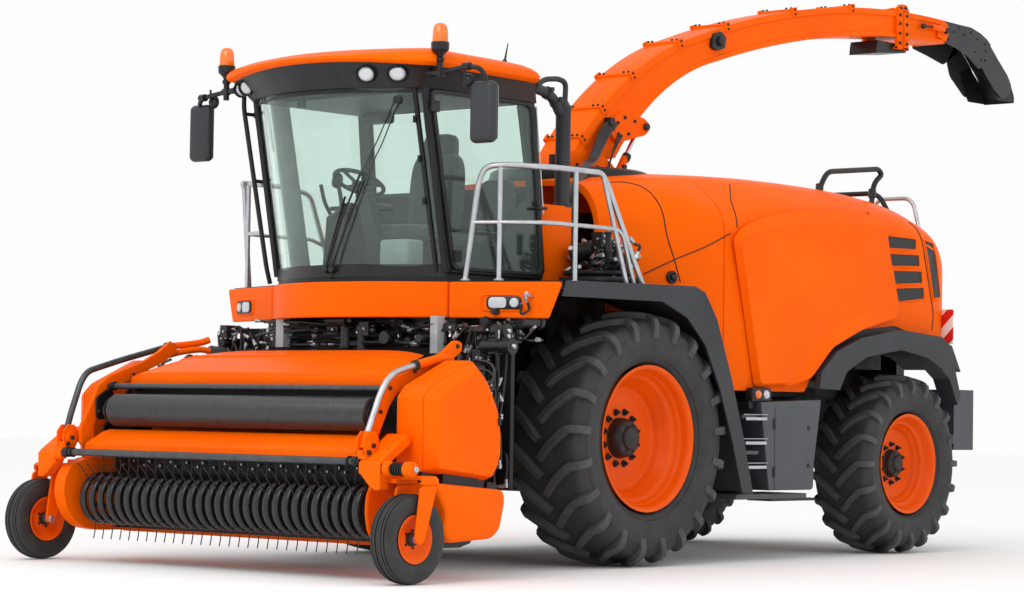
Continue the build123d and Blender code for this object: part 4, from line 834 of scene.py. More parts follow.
def makeHeaderHood():
    # Height is the row's height less a rounded fall towards the sides, (share across)^9, with creases where two rows
    # stand close; the same sheet a little lower, in black, lines it
    rows = curvedPath(headerHood["rows"], 4)
    t = np.sin(np.linspace(-math.pi / 2, math.pi / 2, 61))[None, :]
    y, half, top = (rows[:, k:k + 1] for k in range(3))
    points = np.stack([t * half, y + 0.05 * np.abs(t) ** 12, top - 0.035 * np.abs(t) ** 9], -1)
    addPiece("header_hood_sheet", grid(points), "header", orange, smooth=32,
             replaces=("header_hood",)).modifiers.new("sheetThickness", "SOLIDIFY").thickness = 0.008
    lined = grid(points * (0.985, 1, 1) + (0, 0.012, -0.012))
    addPiece("header_hood_liner", lined, "header", coatBlack, smooth=32)
    hinges = [boxShape((x - 0.04, -2.10, 1.55), (x + 0.04, -2.035, 1.576)) for x in (-0.5, 0, 0.5)]
    addPiece("header_hood_hinges", join(*hinges), "header", coatBlack, bevel=0.004)


arm = dict(outline=[(-3.165, 0.785), (-3.14, 0.815), (-2.905, 0.98), (-2.878, 0.988), (-2.855, 0.96), (-2.86, 0.92),
                    (-3.073, 0.785), (-3.095, 0.70), (-3.165, 0.72)], width=0.195,
           lug=[(0.0, 0.73), (0.09, 0.645), (0.15, 0.612), (0.195, 0.615), (0.195, 0.80), (0.0, 0.80)], left=1.50,
           right=1.585)
fork = dict(leg=[(-3.032, 0.652), (-3.060, 0.63), (-3.104, 0.33), (-3.098, 0.285), (-3.058, 0.262), (-3.018, 0.285),
                 (-3.000, 0.33), (-2.905, 0.63), (-2.892, 0.652)],
            crown=[(1.735, 0.652), (1.735, 0.69), (1.755, 0.712), (1.955, 0.712), (1.975, 0.69), (1.975, 0.652),
                   (1.953, 0.652), (1.95, 0.686), (1.76, 0.686), (1.757, 0.652)])


def makeFrontBar():
    # The bar across the front, the box arms at its ends, and each gauge wheel's fork and tube rail
    bar = tube([(-1.56, -3.14, 0.80), (1.49, -3.14, 0.798)], 0.026, sides=24)
    addPiece("front_bar_rod", bar, "header", satinShaft, smooth=40, replaces=("front_bar",))
    collars = [stub(x, x + w, 0.036, (0, -3.14, 0.799), 28)
               for x, w in ((-1.50, 0.05), (1.44, 0.04), (-1.42, 0.012), (1.39, 0.012))]
    addPiece("front_bar_collars", join(*collars), "header", coatBlack, smooth=40)
    points, faces = join(slab(arm["outline"], 0.0, arm["width"]), slab(arm["lug"], -3.163, 0.09, 1))
    left, right = (points + (arm["left"], 0, 0), faces), mirrored((points + (arm["right"], 0, 0), faces))
    bushing = spin([(-1.59, 0.0), (-1.59, 0.05), (-1.57, 0.052), (-1.55, 0.044), (-1.52, 0.044), (-1.52, 0.0)],
                   (0, -3.13, 0.79), 24)
    legs = [slab(fork["leg"], x, 0.022) for x in (1.735, 1.953)]
    crown = slab(fork["crown"], -3.045, 0.16, 1)
    stay = [boxShape((1.70, -3.07, 0.66), (1.76, -2.86, 0.70)), boxShape((1.50, -2.92, 0.66), (1.74, -2.86, 0.74))]
    addPiece("gauge_arms", join(left, right, bushing, bothSides(join(*legs, crown, *stay))), "header", orange,
             bevel=0.01)
    knuckle = spin([(1.862, 0.0), (1.862, 0.046), (1.87, 0.052), (1.925, 0.052), (1.935, 0.045), (1.945, 0.03),
                    (1.945, 0.0)],
                   (0, -3.09, 0.756), 28)
    lug = boxShape((1.87, -3.10, 0.70), (1.92, -3.05, 0.76))
    flange = spin([(1.69, 0.0), (1.69, 0.06), (1.72, 0.05), (1.74, 0.04), (1.74, 0.0)], (0, -3.09, 0.756), 28)
    addPiece("gauge_arm_bosses", join(knuckle, lug, flange), "header", orange, bevel=0.004)
    axle = spin([(1.722, 0.0), (1.722, 0.024), (1.734, 0.03), (1.962, 0.03), (1.974, 0.024), (1.974, 0.0)],
                (0, -3.058, 0.3), 20)
    boss = bolts([(1.943, -3.09, 0.756)], (1, 0, 0), 0.022, 0.022)
    addPiece("gauge_fasteners", join(bothSides(axle), boss), "header", tubeSteel, smooth=32)
    # A rubber spring, lying across between the arm and the lug above its fork
    rings = [(1.74, 0.0), (1.74, 0.030)]
    for k in range(5):
        x = 1.75 + 0.022 * k
        rings += [(x, 0.030), (x + 0.004, 0.044), (x + 0.013, 0.044), (x + 0.017, 0.030)]
    rings += [(1.862, 0.030), (1.862, 0.0)]
    addPiece("gauge_springs", spin(rings, (0, -3.09, 0.756), 28), "header", coatBlack, smooth=40)
    # The tube rails that carry the press: the left one bare, the right one painted and longer
    near = [(1.50, -3.105, 0.90), (1.50, -3.085, 0.98), (1.50, -2.955, 1.27), (1.50, -2.86, 1.385),
            (1.50, -2.69, 1.435), (1.50, -2.36, 1.505)]
    far = [(-1.55, -3.09, 0.95), (-1.55, -3.06, 1.061), (-1.55, -2.964, 1.316), (-1.55, -2.90, 1.395),
           (-1.55, -2.585, 1.483), (-1.55, -2.09, 1.604)]
    addPiece("press_rail_left", tube(near, 0.0225, 0.12, 20), "header", tubeSteel, smooth=60)
    addPiece("press_rail_right", tube(far, 0.0235, 0.08, 20), "header", satinShaft, smooth=60)
    low, high = np.array(near[-2:])
    sleeve = hose([low + (high - low) * 0.2, low + (high - low) * 0.7, high, (1.47, -2.25, 1.50), (1.42, -2.18, 1.46)],
                  0.031, 18)
    second = hose([(1.44, -2.66, 1.37), (1.44, -2.45, 1.43), (1.44, -2.25, 1.44), (1.44, -2.18, 1.38)], 0.03, 18)
    beyond = [hose(knots, radius, 16) for radius, knots in
              ((0.026, [(-1.53, -2.07, 1.605), (-1.50, -1.98, 1.615), (-1.46, -1.86, 1.635), (-1.42, -1.80, 1.66)]),
               (0.024, [(-1.50, -2.16, 1.53), (-1.46, -2.05, 1.56), (-1.40, -1.92, 1.58), (-1.36, -1.85, 1.57)]))]
    feet = []
    for x, y in ((1.50, 0.0), (-1.55, 0.008)):
        feet += [carry([(x, -3.11 + y, 0.885), (x, -3.075 + y, 0.995)], ring(0.032, 20)),
                 boxShape((x - 0.048, -3.15 + y, 0.815), (x + 0.048, -3.05 + y, 0.875)),
                 turned([(-0.01, 0.0), (-0.01, 0.05), (0.01, 0.046), (0.01, 0.0)], (x + 0.05, -3.09 + y, 0.90),
                        (1, 0, 0), 20)]
        feet += [slab([(-3.15, 0.84), (-3.03, 0.84), (-3.01, 0.95), (-3.05, 1.0), (-3.11, 1.0), (-3.15, 0.95)],
                      x + side, 0.014)
                 for side in (-0.042, 0.028)]
    addPiece("press_rail_sleeves", join(sleeve, second, *beyond, *feet), "header", orange, bevel=0.003)
    band = [carry([low + (high - low) * 0.16, low + (high - low) * 0.24], ring(0.036, 20)),
            carry([(-1.55, -2.13, 1.594), (-1.55, -2.08, 1.606)], ring(0.034, 20))]
    cross = [bolts([(x + 0.06, -3.085, 0.905), (x + 0.05, -3.12, 0.86)], (1, 0, 0), 0.018, 0.014)
             for x in (1.50, -1.55)]
    addPiece("press_rail_collars", join(*band, *cross), "header", castIron, smooth=32)


press = dict(arm=[(-2.12, 1.555), (-2.12, 1.62), (-2.19, 1.632), (-2.30, 1.555), (-2.46, 1.475), (-2.79, 1.362),
                  (-2.89, 1.29), (-2.985, 1.095), (-3.05, 0.98), (-3.045, 0.86), (-2.99, 0.83), (-2.93, 0.988),
                  (-2.84, 1.166), (-2.765, 1.256), (-2.46, 1.39), (-2.25, 1.475)],
             plate=[(-2.868, 0.972), (-2.90, 0.955), (-3.025, 0.872), (-3.034, 0.862), (-3.036, 0.805), (-3.02, 0.803),
                    (-3.018, 0.855), (-2.86, 0.955)])


def makePress():
    # Two flat facets with a crease between them; the ends are cut off at a slant towards the top
    ends = np.array([[1.31, 1.36, 1.40, 1.405, 1.41, 1.41, 1.40, 1.31]]).T
    outline = np.array(press["plate"])
    loops = [np.concatenate([side * ends, outline], 1) for side in (-1, 1)]
    plate = loft(loops)
    addPiece("press_plate", plate, "press", orange, bevel=0.004, replaces=("press_frame",))
    arms = bothSides(roundedSlab(press["arm"], 0.02, 1.435, 0.035, 3))
    addPiece("press_arms", arms, "press", orange, bevel=0.006)
    rod = tube([(-1.44, -2.79, 1.288), (1.44, -2.79, 1.288)], 0.022, sides=20)
    addPiece("press_rod", rod, "press", satinShaft, smooth=40)
    holders = [roundedSlab([(-2.92, 1.04), (-2.93, 1.2), (-2.82, 1.27), (-2.76, 1.25), (-2.80, 1.10), (-2.82, 1.04)],
                           0.03, 1.405, 0.02),
               turned([(0, 0.0), (0, 0.052), (0.02, 0.05), (0.024, 0.036), (0.03, 0.03), (0.03, 0.0)],
                      (1.41, -2.85, 1.11), (1, 0, 0), 24),
               stub(1.36, 1.39, 0.034, (0, -2.79, 1.288), 20)]
    addPiece("press_holders", bothSides(join(*holders)), "press", coatBlack, bevel=0.003)
    spots = ((-2.84, 1.29), (-2.93, 1.13), (-2.6, 1.41), (-2.99, 0.93))
    pins = join(bolts([(1.47, -2.17, 1.59)] + [(1.47, y, z) for y, z in spots], (1, 0, 0), 0.016, 0.012),
                bolts([(1.405, y + 0.02, z - 0.03) for y, z in spots[:3]], (-1, 0, 0), 0.014, 0.012))
    addPiece("press_bolts", bothSides(pins), "press", castIron, smooth=30)


trough = dict(wall=[(-2.60, 0.215), (-2.23, 0.25), (-2.20, 0.40), (-2.20, 1.27), (-2.33, 1.27), (-2.33, 0.80),
                    (-2.24, 0.70), (-2.24, 0.42), (-2.27, 0.285), (-2.60, 0.25)],
              end=[(-3.055, 0.56), (-3.062, 0.45), (-3.035, 0.33), (-2.97, 0.26), (-2.86, 0.225), (-2.25, 0.215),
                   (-2.19, 0.42), (-2.19, 0.80), (-2.86, 0.80), (-3.0, 0.69)],
              far=[(-3.175, 0.60), (-3.185, 0.50), (-3.15, 0.39), (-3.09, 0.31), (-3.0, 0.25), (-2.86, 0.225),
                   (-2.3, 0.22), (-2.3, 0.76), (-2.96, 0.76), (-3.12, 0.70)],
              cheek=[(-2.83, 0.78), (-2.80, 0.98), (-2.56, 1.27), (-2.19, 1.27), (-2.19, 0.78)])


def makeTrough():
    # The wall behind the reel, its ends and cheeks, and the auger: two flights that wind in from the ends
    shapes = [slab(trough["wall"], -1.465, 2.93), boxShape((-1.465, -2.60, 0.64), (1.465, -2.33, 0.70))]
    lip = carry(np.array([(1.48, y, z) for y, z in roundedLoop(trough["end"], 0.04, 4)[:26]]), ring(0.011, 8))
    ends = [roundedSlab(trough["end"], 0.04, 1.466, 0.028), roundedSlab(trough["far"], 0.04, -1.565, 0.11)]
    addPiece("trough_shell", join(*shapes, lip, *ends), "header", orange, bevel=0.003,
             replaces=("header_frame",))
    addPiece("trough_cheeks", bothSides(slab(trough["cheek"], 1.466, 0.02)), "header", coatBlack,
             bevel=0.003)
    flights = []
    turns, pitch, reach, (y, z) = 4.5, 0.22, 1.40, (-2.45, 0.47)
    turn = np.linspace(0, turns * 2 * math.pi, 220)
    for way in (-1, 1):
        x = way * (reach - pitch * turn / (2 * math.pi))
        sheet = np.stack([np.stack([x, y + r * np.cos(turn), z + r * np.sin(turn)], -1) for r in (0.07, 0.19)], 1)
        thick = sheet + (0.006, 0, 0)
        flights.append(grid(np.concatenate([sheet, thick[:, ::-1]], 1), closeColumns=True, capEnds=True))
    tubeBody = stub(-1.42, 1.42, 0.072, (0, y, z), 32)
    addPiece("feed_auger", join(tubeBody, *flights), "header", coatBlack, smooth=50)


shield = dict(upper=[(-2.84, 0.735), (-2.84, 1.235), (-2.768, 1.31), (-2.36, 1.492), (-2.27, 1.362), (-2.165, 1.157),
                     (-2.132, 0.997), (-2.132, 0.848), (-2.165, 0.757), (-2.22, 0.671)],
              raised=[(-2.811, 0.765), (-2.811, 1.215), (-2.785, 1.247), (-2.40, 1.43), (-2.295, 1.335), (-2.19, 1.15),
                      (-2.158, 0.997), (-2.158, 0.855), (-2.185, 0.775), (-2.24, 0.70)],
              lower=[(-2.85, 0.668), (-2.135, 0.612), (-2.122, 0.531), (-2.17, 0.345), (-2.25, 0.283), (-2.67, 0.264),
                     (-2.757, 0.334), (-2.726, 0.47), (-2.82, 0.60)])


def withSlimTwin(*shapes):
    # The shapes, and on the other side the same at half the width, measured from their inner face
    points, faces = join(*shapes)
    innerFace = 1.54
    slim = np.column_stack([innerFace + (points[:, 0] - innerFace) * 0.5, points[:, 1:]])
    return join((points, faces), mirrored((slim, faces)))


def makeShields():
    # Each shield is its outline pushed out and drawn in over a few steps. On the upper one a second, smaller
    # outline stands proud: x = 1.90 at the front, less 0.03 eased in towards the rear
    pieces = []
    base, raised = np.array(shield["upper"]), np.array(shield["raised"])
    levels = [(base, 1.54), (base, 1.756), (inset(base, 0.006), 1.768), (inset(base, 0.014), 1.772),
              (0.9 * base + 0.1 * raised, 1.782), (raised, 1.896), (inset(raised, 0.008), 1.90),
              (inset(raised, 0.03), 1.901)]
    rows = []
    for outline, x in levels:
        loop = roundedLoop(outline, 0.018, 4)
        back = 0.03 * ease((loop[:, :1] + 2.62) / 0.3) * (x > 1.8)
        rows.append(np.concatenate([x - back, loop], 1))
    pieces.append(loft(rows))
    rows = [np.insert(roundedLoop(inset(shield["lower"], by), 0.035), 0, x, axis=1)
            for by, x in ((0.0, 1.592), (0.0, 1.868), (0.006, 1.884), (0.018, 1.895), (0.03, 1.899))]
    pieces.append(loft(rows))
    addPiece("side_shields_moulded", withSlimTwin(*pieces), "header", orange, smooth=24,
             replaces=("side_shields",))
    latches = [boxShape((1.862, -2.19, 1.05), (1.884, -2.168, 1.10)),
               slab([(-2.83, 0.655), (-2.2, 0.60), (-2.2, 0.70), (-2.83, 0.76)], 1.56, 0.2),
               boxShape((1.60, -2.66, 0.32), (1.80, -2.3, 0.9)),
               slab([(-2.72, 0.29), (-2.70, 0.255), (-2.62, 0.226), (-2.48, 0.226), (-2.38, 0.25), (-2.34, 0.29)],
                    1.60, 0.2)]
    addPiece("shield_latches", withSlimTwin(*latches), "header", absBlack, bevel=0.003)


def makeHeaderPlumbing():
    # Valve blocks, fittings and hoses behind the near shield, and hoses over the header's back to the chassis
    blocks = [boxShape((1.52, -2.16, z), (1.66, -2.02, z + 0.14)) for z in (0.72, 0.98, 1.22)]
    blocks += [boxShape((1.50, -2.19, 0.60), (1.58, -2.00, 1.46)), boxShape((1.60, -2.10, 0.45), (1.70, -2.0, 0.66)),
               boxShape((0.95, -2.15, 1.29), (1.46, -2.03, 1.42)), boxShape((0.98, -2.0, 0.9), (1.3, -1.86, 1.25))]
    addPiece("valve_blocks", bothSides(join(*blocks)), "header", castIron, bevel=0.008)
    ports = (0.76, 0.82, 1.02, 1.08, 1.27, 1.33)
    nuts = [bolts([(1.66, -2.12 + 0.05 * k, z) for k in range(2)], (1, 0, 0), 0.018, 0.04) for z in ports]
    tops = [bolts([(1.0 + 0.08 * k, -2.09, 1.42) for k in range(6)], (0, 0, 1), 0.017, 0.035)]
    addPiece("hose_fittings", bothSides(join(*nuts, *tops)), "header", tubeSteel, smooth=30)
    hoses = []
    for k in range(6):
        x = 1.0 + 0.08 * k
        hoses.append(hose([(x, -2.09, 1.44), (x + 0.005, -2.09, 1.475), (x - 0.02, -2.04, 1.50 + 0.006 * k),
                           (x - 0.07, -1.97, 1.47), (x - 0.10, -1.93, 1.38), (x - 0.1, -1.93, 1.2)], 0.013))
    for z in ports:
        hoses.append(hose([(1.69, -2.10, z), (1.715, -2.10, z + 0.01), (1.722, -2.07, z + 0.05),
                           (1.70, -2.05, z + 0.11), (1.65, -2.05, z + 0.15), (1.55, -2.08, z + 0.17)], 0.011))
        hoses.append(hose([(1.68, -2.06, z), (1.70, -2.04, z - 0.03), (1.70, -2.03, z - 0.10),
                           (1.66, -2.02, z - 0.17), (1.56, -2.05, z - 0.2)], 0.009))
    addPiece("header_hoses", bothSides(join(*hoses)), "header", hoseRubber, smooth=60)


makeBands()
makeTines()
makeRoller()
makeHeaderHood()
makeFrontBar()
makePress()
makeTrough()
makeShields()
makeHeaderPlumbing()
softened("feeder", 0.008, coatBlack)
print("header made")


cab = dict(half=0.86, roofFront=-1.845, roofBow=0.264, roofRear=-0.98, glassFront=-1.88, bow=0.33)


def cabOutline(front, bow, rear, grow, bend=0.11):
    # A bowed front between two corners and a straight rear, its corners rounded, as (x, y)
    half = cab["half"] + grow
    x = np.linspace(-half, half, 21)
    bowed = np.column_stack([x, front - grow - bow * (1 - (x / half) ** 2)])
    corners = np.concatenate([bowed, [(half, rear + grow), (-half, rear + grow)]])
    looped = np.concatenate([corners[-1:], corners, corners[:1]])
    return roundedPath(np.column_stack([looped, np.zeros(len(looped))]), bend, 4)[1:-1, :2]


def frontArch(outline):
    # Heights that rise towards the middle of the front: 0.045 (1 - (x / 0.95)^2)
    return 0.045 * np.clip(1 - (outline[:, 0] / 0.95) ** 2, 0, 1) * (outline[:, 1] < -1.7)


def makeRoof():
    # Rows of the roof's outline, each at a height and a growth; the lower edge arches up over the windscreen's middle
    levels = [(3.598, 0.10), (3.588, 0.150), (3.596, 0.178), (3.615, 0.194), (3.640, 0.195), (3.667, 0.180),
              (3.692, 0.150), (3.714, 0.105), (3.731, 0.04), (3.744, -0.05), (3.752, -0.17), (3.757, -0.34),
              (3.758, -0.55)]
    rows = []
    for z, grow in levels:
        outline = cabOutline(cab["roofFront"], cab["roofBow"], cab["roofRear"], grow)
        arch = frontArch(outline) * ease((3.70 - z) / 0.08)
        rows.append(np.column_stack([outline, z + arch - 0.02 * np.clip((outline[:, 1] + 1.6) / 0.9, 0, 1)]))
    addPiece("cab_roof_moulded", loft(rows), "chassis", orange,
             smooth=35, replaces=("cab_roof",))
    rows = []
    high = cabOutline(cab["roofFront"], cab["roofBow"], cab["roofRear"], 0.165)
    low = cabOutline(cab["glassFront"], cab["bow"], -0.70, 0.034, 0.05)
    for t in (0.0, 0.02, 0.3, 0.7, 0.96, 1.0, 1.0):
        flat = high + (low - high) * t
        arch = frontArch(flat) * (1 - t)
        rows.append(np.column_stack([flat, 3.602 - 0.155 * t ** 1.15 + arch]))
    addPiece("cab_visor", loft(rows), "chassis", absBlack,
             smooth=35)


def visorPoint(x):
    # A point on the visor's front, a share of the way from the roof's front line down to the windscreen's top
    share = 0.42
    high = np.array([x, cab["roofFront"] - 0.165 - cab["roofBow"] * (1 - (x / 1.025) ** 2), 3.602])
    low = np.array([x, cab["glassFront"] - 0.034 - cab["bow"] * (1 - (x / 0.894) ** 2), 3.447])
    return high + (low - high) * share


def makeCabLamps():
    # Round lamps in the visor, two beacons on stalks and the aerial
    bezels, lenses = [], []
    for x, size, squash in ((0.545, 0.066, 0.8), (0.765, 0.066, 0.8), (-0.93, 0.052, 0.95), (-0.80, 0.054, 0.95)):
        place = visorPoint(x)
        direction = (0.42 * x if x > 0 else 0.12, -1.0, -0.26)
        bezels.append(turned([(-0.03, size * 1.22), (0.012, size * 1.25), (0.02, size * 1.16), (0.012, size * 1.04),
                              (-0.004, size)], place, direction, 36, squash))
        lenses.append(turned([(-0.004, size), (0.006, size * 0.9), (0.012, size * 0.6), (0.014, size * 0.25),
                              (0.014, 0.0)], place, direction, 36, squash))
    addPiece("cab_lamp_bezels", join(*bezels), "chassis", coatBlack, smooth=40)
    addPiece("cab_lamp_lenses", join(*lenses), "chassis", clearLens, smooth=50)
    stalks, domes = [], []
    for x, y, low, base in ((1.06, -1.95, 3.50, 3.72), (-1.13, -1.95, 3.47, 3.70)):
        stalks.append(turned([(low, 0.0), (low, 0.022), (base - 0.11, 0.022), (base - 0.1, 0.032), (base - 0.08, 0.032),
                              (base - 0.07, 0.022), (base - 0.05, 0.034), (base - 0.035, 0.05), (base - 0.02, 0.064),
                              (base + 0.03, 0.066), (base + 0.035, 0.05), (base + 0.035, 0.0)], (x, y, 0), (0, 0, 1)))
        domes.append(turned([(base + 0.03, 0.055), (base + 0.035, 0.058), (base + 0.12, 0.054), (base + 0.15, 0.046),
                             (base + 0.166, 0.03), (base + 0.172, 0.0)], (x, y, 0), (0, 0, 1)))
    brackets = [tube([(x * 0.88, -1.96, 3.55), (x, -1.95, 3.53)], 0.02) for x in (1.06, -1.13)]
    addPiece("beacon_stalks", join(*stalks, *brackets), "chassis", absBlack, smooth=40)
    addPiece("beacon_domes", join(*domes), "chassis", amberLens, smooth=50)
    mast = turned([(0, 0.022), (0.02, 0.02), (0.035, 0.009), (0.16, 0.0035), (0.165, 0.0)], (0.8, -0.96, 3.72),
                  (0, 0.25, 1), 12)
    addPiece("cab_aerial", mast, "chassis", absBlack, smooth=50)


def makeMirrors():
    # On each side a bent arm, a shell that hangs from it and a bright pane
    arms = []
    for out, arm in ((1, [(0.93, -1.93, 3.53), (1.06, -1.95, 3.535), (1.34, -1.975, 3.56), (1.43, -1.95, 3.55),
                          (1.448, -1.90, 3.50), (1.448, -1.90, 3.40)]),
                     (-1, [(0.93, -1.93, 3.53), (1.13, -1.95, 3.535), (1.36, -1.975, 3.50), (1.43, -1.95, 3.46),
                           (1.448, -1.90, 3.42), (1.448, -1.90, 3.36)])):
        flip = np.array([out, 1, 1])
        arms.append(tube(np.array(arm) * flip, 0.018, 0.07))
        arms.append(tube(np.array([(1.448, -1.937, 3.42), (1.448, -1.937, 3.20)]) * flip, 0.011))
        for place in (arm[1], arm[2]):
            arms.append(disc(0.03, 0.028, np.array(place) * flip, (out, 0.1, 0), 20))
        arms.append(turned([(-0.02, 0.0), (-0.015, 0.03), (0.01, 0.05), (0.02, 0.05), (0.024, 0.0)],
                           np.array((1.30, -1.93, 3.47)) * flip, (0, 1, 0), 24))
        arms.append(tube(np.array([(1.30, -1.955, 3.56), (1.30, -1.95, 3.47)]) * flip, 0.009))
    shell = roundedBox((1.333, -1.95, 3.022), (1.552, -1.858, 3.456), 0.042)
    pane = slab([(1.362, 3.05), (1.533, 3.05), (1.533, 3.43), (1.362, 3.43)], -1.856, 0.003, 1)
    addPiece("mirror_shells", bothSides(shell), "chassis", plasticGrey, smooth=45, replaces=("mirrors",))
    addPiece("mirror_arms", join(*arms), "chassis", absBlack, smooth=45)
    addPiece("mirror_panes", bothSides(pane), "chassis", chrome, smooth=20, bevel=0.001)


def screenPoint(x, z, off):
    # A point that stands off from the windscreen: its front line moves forwards with height and bows by (1 - x^2)
    front = -1.62 - 0.26 * (z - 2.14) / 1.31
    return (x, front - 0.326 * (1 - (x / 0.856) ** 2) - off, z)


def makeWipers():
    # Arms, rods and a blade that follow the windscreen, and the seals round its edge
    arms = [tube([screenPoint(x, z, 0.045) for x, z in line], 0.008, 0.02, 8)
            for line in ([(0.0, 2.16), (0.20, 2.50), (0.40, 2.84)], [(0.05, 2.15), (0.25, 2.48), (0.43, 2.80)])]
    rods = [tube([screenPoint(x, z, 0.04) for x, z in line], 0.0045, 0.02, 6)
            for line in ([(0.38, 2.80), (0.55, 3.08), (0.69, 3.36)], [(0.42, 2.79), (0.58, 3.06), (0.71, 3.34)])]
    blades = [tube([screenPoint(x, z, 0.018) for x, z in line], 0.009, 0.03, 8)
              for line in ([(-0.02, 2.18), (0.10, 2.40), (0.24, 2.68)],)]
    hubs = [turned([(-0.02, 0.0), (-0.02, 0.028), (0.05, 0.026), (0.055, 0.0)], screenPoint(x, 2.155, 0.0),
                   (0, -1, 0.2), 20)
            for x in (0.0, 0.06)] + \
           [turned([(-0.02, 0.0), (-0.02, 0.03), (0.03, 0.03), (0.035, 0.0)], screenPoint(0.70, 3.36, 0.02),
                   (0.4, -1, 0), 20)]
    addPiece("wiper", join(*arms, *rods, *blades, *hubs), "chassis", absBlack, smooth=45)
    edge = [screenPoint(x, 3.44, 0.002) for x in np.linspace(-0.84, 0.84, 25)]
    sill = [screenPoint(x, 2.15, 0.004) for x in np.linspace(-0.85, 0.85, 25)]
    sides = [[screenPoint(x, z, 0.002) for z in np.linspace(2.15, 3.44, 9)] for x in (-0.85, 0.85)]
    band = [(-0.028, -0.006), (-0.028, 0.006), (0.028, 0.006), (0.028, -0.006)]
    addPiece("windscreen_seals", join(*[carry(line, band, up=(0, -1, 0)) for line in (edge, *sides)],
                                      carry(sill, [(-0.045, -0.008), (-0.045, 0.012), (0.045, 0.012), (0.045, -0.008)],
                                            up=(0, -1, 0))), "chassis", absBlack, smooth=40)


door = dict(outline=[(-1.595, 2.16), (-1.865, 3.44), (-0.712, 3.44), (-0.572, 2.16)],
            pane=[(-1.563, 2.185), (-1.825, 3.415), (-0.757, 3.415), (-0.625, 2.185)])


def makeDoor():
    # The frame is carried round between the outline and the pane's edge; the pane is flat
    outer = roundedPath([(0, *p) for p in (door["outline"] + door["outline"][:2])], 0.05, 5)[1:-1, 1:]
    inner = roundedPath([(0, *p) for p in (door["pane"] + door["pane"][:2])], 0.06, 5)[1:-1, 1:]
    rows = [np.insert(line, 0, x, axis=1) for line, x in ((inner, 0.862), (outer, 0.862), (outer, 0.896),
                                                         ((outer * 0.93 + inner * 0.07), 0.902),
                                                         ((outer * 0.2 + inner * 0.8), 0.902), (inner, 0.896))]
    addPiece("door_frame", grid(np.stack(rows), closeRows=True, closeColumns=True), "cab_door", absBlack,
             smooth=35, replaces=("cab_door",))
    addPiece("door_pane", slab(inner, 0.878, 0.007), "cab_door", glass, smooth=30,
             replaces=("cab_door_glass",))
    lower = roundedSlab([(-1.10, 2.185), (-1.02, 2.44), (-0.93, 2.62), (-0.82, 2.70), (-0.68, 2.73), (-0.625, 2.185)],
                        0.05, 0.866, 0.006)
    addPiece("door_lower_panel", lower, "cab_door", absBlack, bevel=0.002)
    handle = [tube([(0.90, -0.71, 2.655), (0.932, -0.71, 2.655), (0.932, -0.60, 2.665), (0.90, -0.60, 2.665)], 0.012,
                   0.015),
              turned([(0, 0.0), (0, 0.03), (0.012, 0.028), (0.014, 0.0)], (0.898, -0.66, 2.70), (1, 0, 0), 20),
              boxShape((0.86, -1.60, 2.22), (0.912, -1.52, 2.30)), boxShape((0.86, -1.86, 3.28), (0.912, -1.78, 3.36))]
    addPiece("door_handle", join(*handle), "cab_door", absBlack, smooth=40, bevel=0.003)
    strip = slab([(-0.710, 3.42), (-0.70, 3.42), (-0.60, 2.62), (-0.612, 2.62)], 0.897, 0.008)
    addPiece("door_rear_strip", strip, "cab_door", tubeSteel, bevel=0.001)


def makeCabFrame():
    # Pillars, sills and rails as straight chamfered bars
    bars = []
    for x in (-0.862, 0.862):
        bars += [beam((x, -1.63, 2.14), (x, -1.89, 3.47), 0.045, 0.05),
                 beam((x * 0.99, -0.60, 2.14), (x * 0.99, -0.735, 3.50), 0.06, 0.07)]
    bars += [beam((0.80, -1.665, 2.14), (0.80, -1.935, 3.47), 0.035, 0.03),
             beam((0.858, -1.575, 2.14), (0.858, -1.84, 3.47), 0.03, 0.04),
             beam((-0.862, -1.60, 2.16), (-0.862, -0.60, 2.16), 0.04, 0.05, (0, 0, 1)),
             beam((0.862, -1.60, 2.15), (0.862, -0.60, 2.15), 0.05, 0.03, (0, 0, 1)),
             beam((-0.85, -0.575, 2.80), (0.85, -0.575, 2.80), 0.05, 0.04, (0, 0, 1)),
             beam((0.02, -1.955, 2.1), (0.06, -1.955, 2.13), 0.02, 0.02)]
    bars += [tube([(0.845, -1.60, 2.16), (0.845, -1.80, 3.44)], 0.016)]
    for z in (2.62, 2.92, 3.2):
        bars.append(boxShape((0.775, -1.705 - 0.2 * (z - 2.14), z), (0.80, -1.67 - 0.2 * (z - 2.14), z + 0.05)))
    addPiece("cab_pillars", join(*bars), "chassis", coatBlack, bevel=0.002, replaces=("cab_frame",))
    trim = [beam((-0.80, -0.64, 2.14), (-0.80, -0.77, 3.44), 0.13, 0.05),
            beam((0.80, -0.64, 2.80), (0.80, -0.77, 3.44), 0.05, 0.05)]
    addPiece("cab_rear_trim", join(*trim), "chassis", plasticGrey, bevel=0.01)


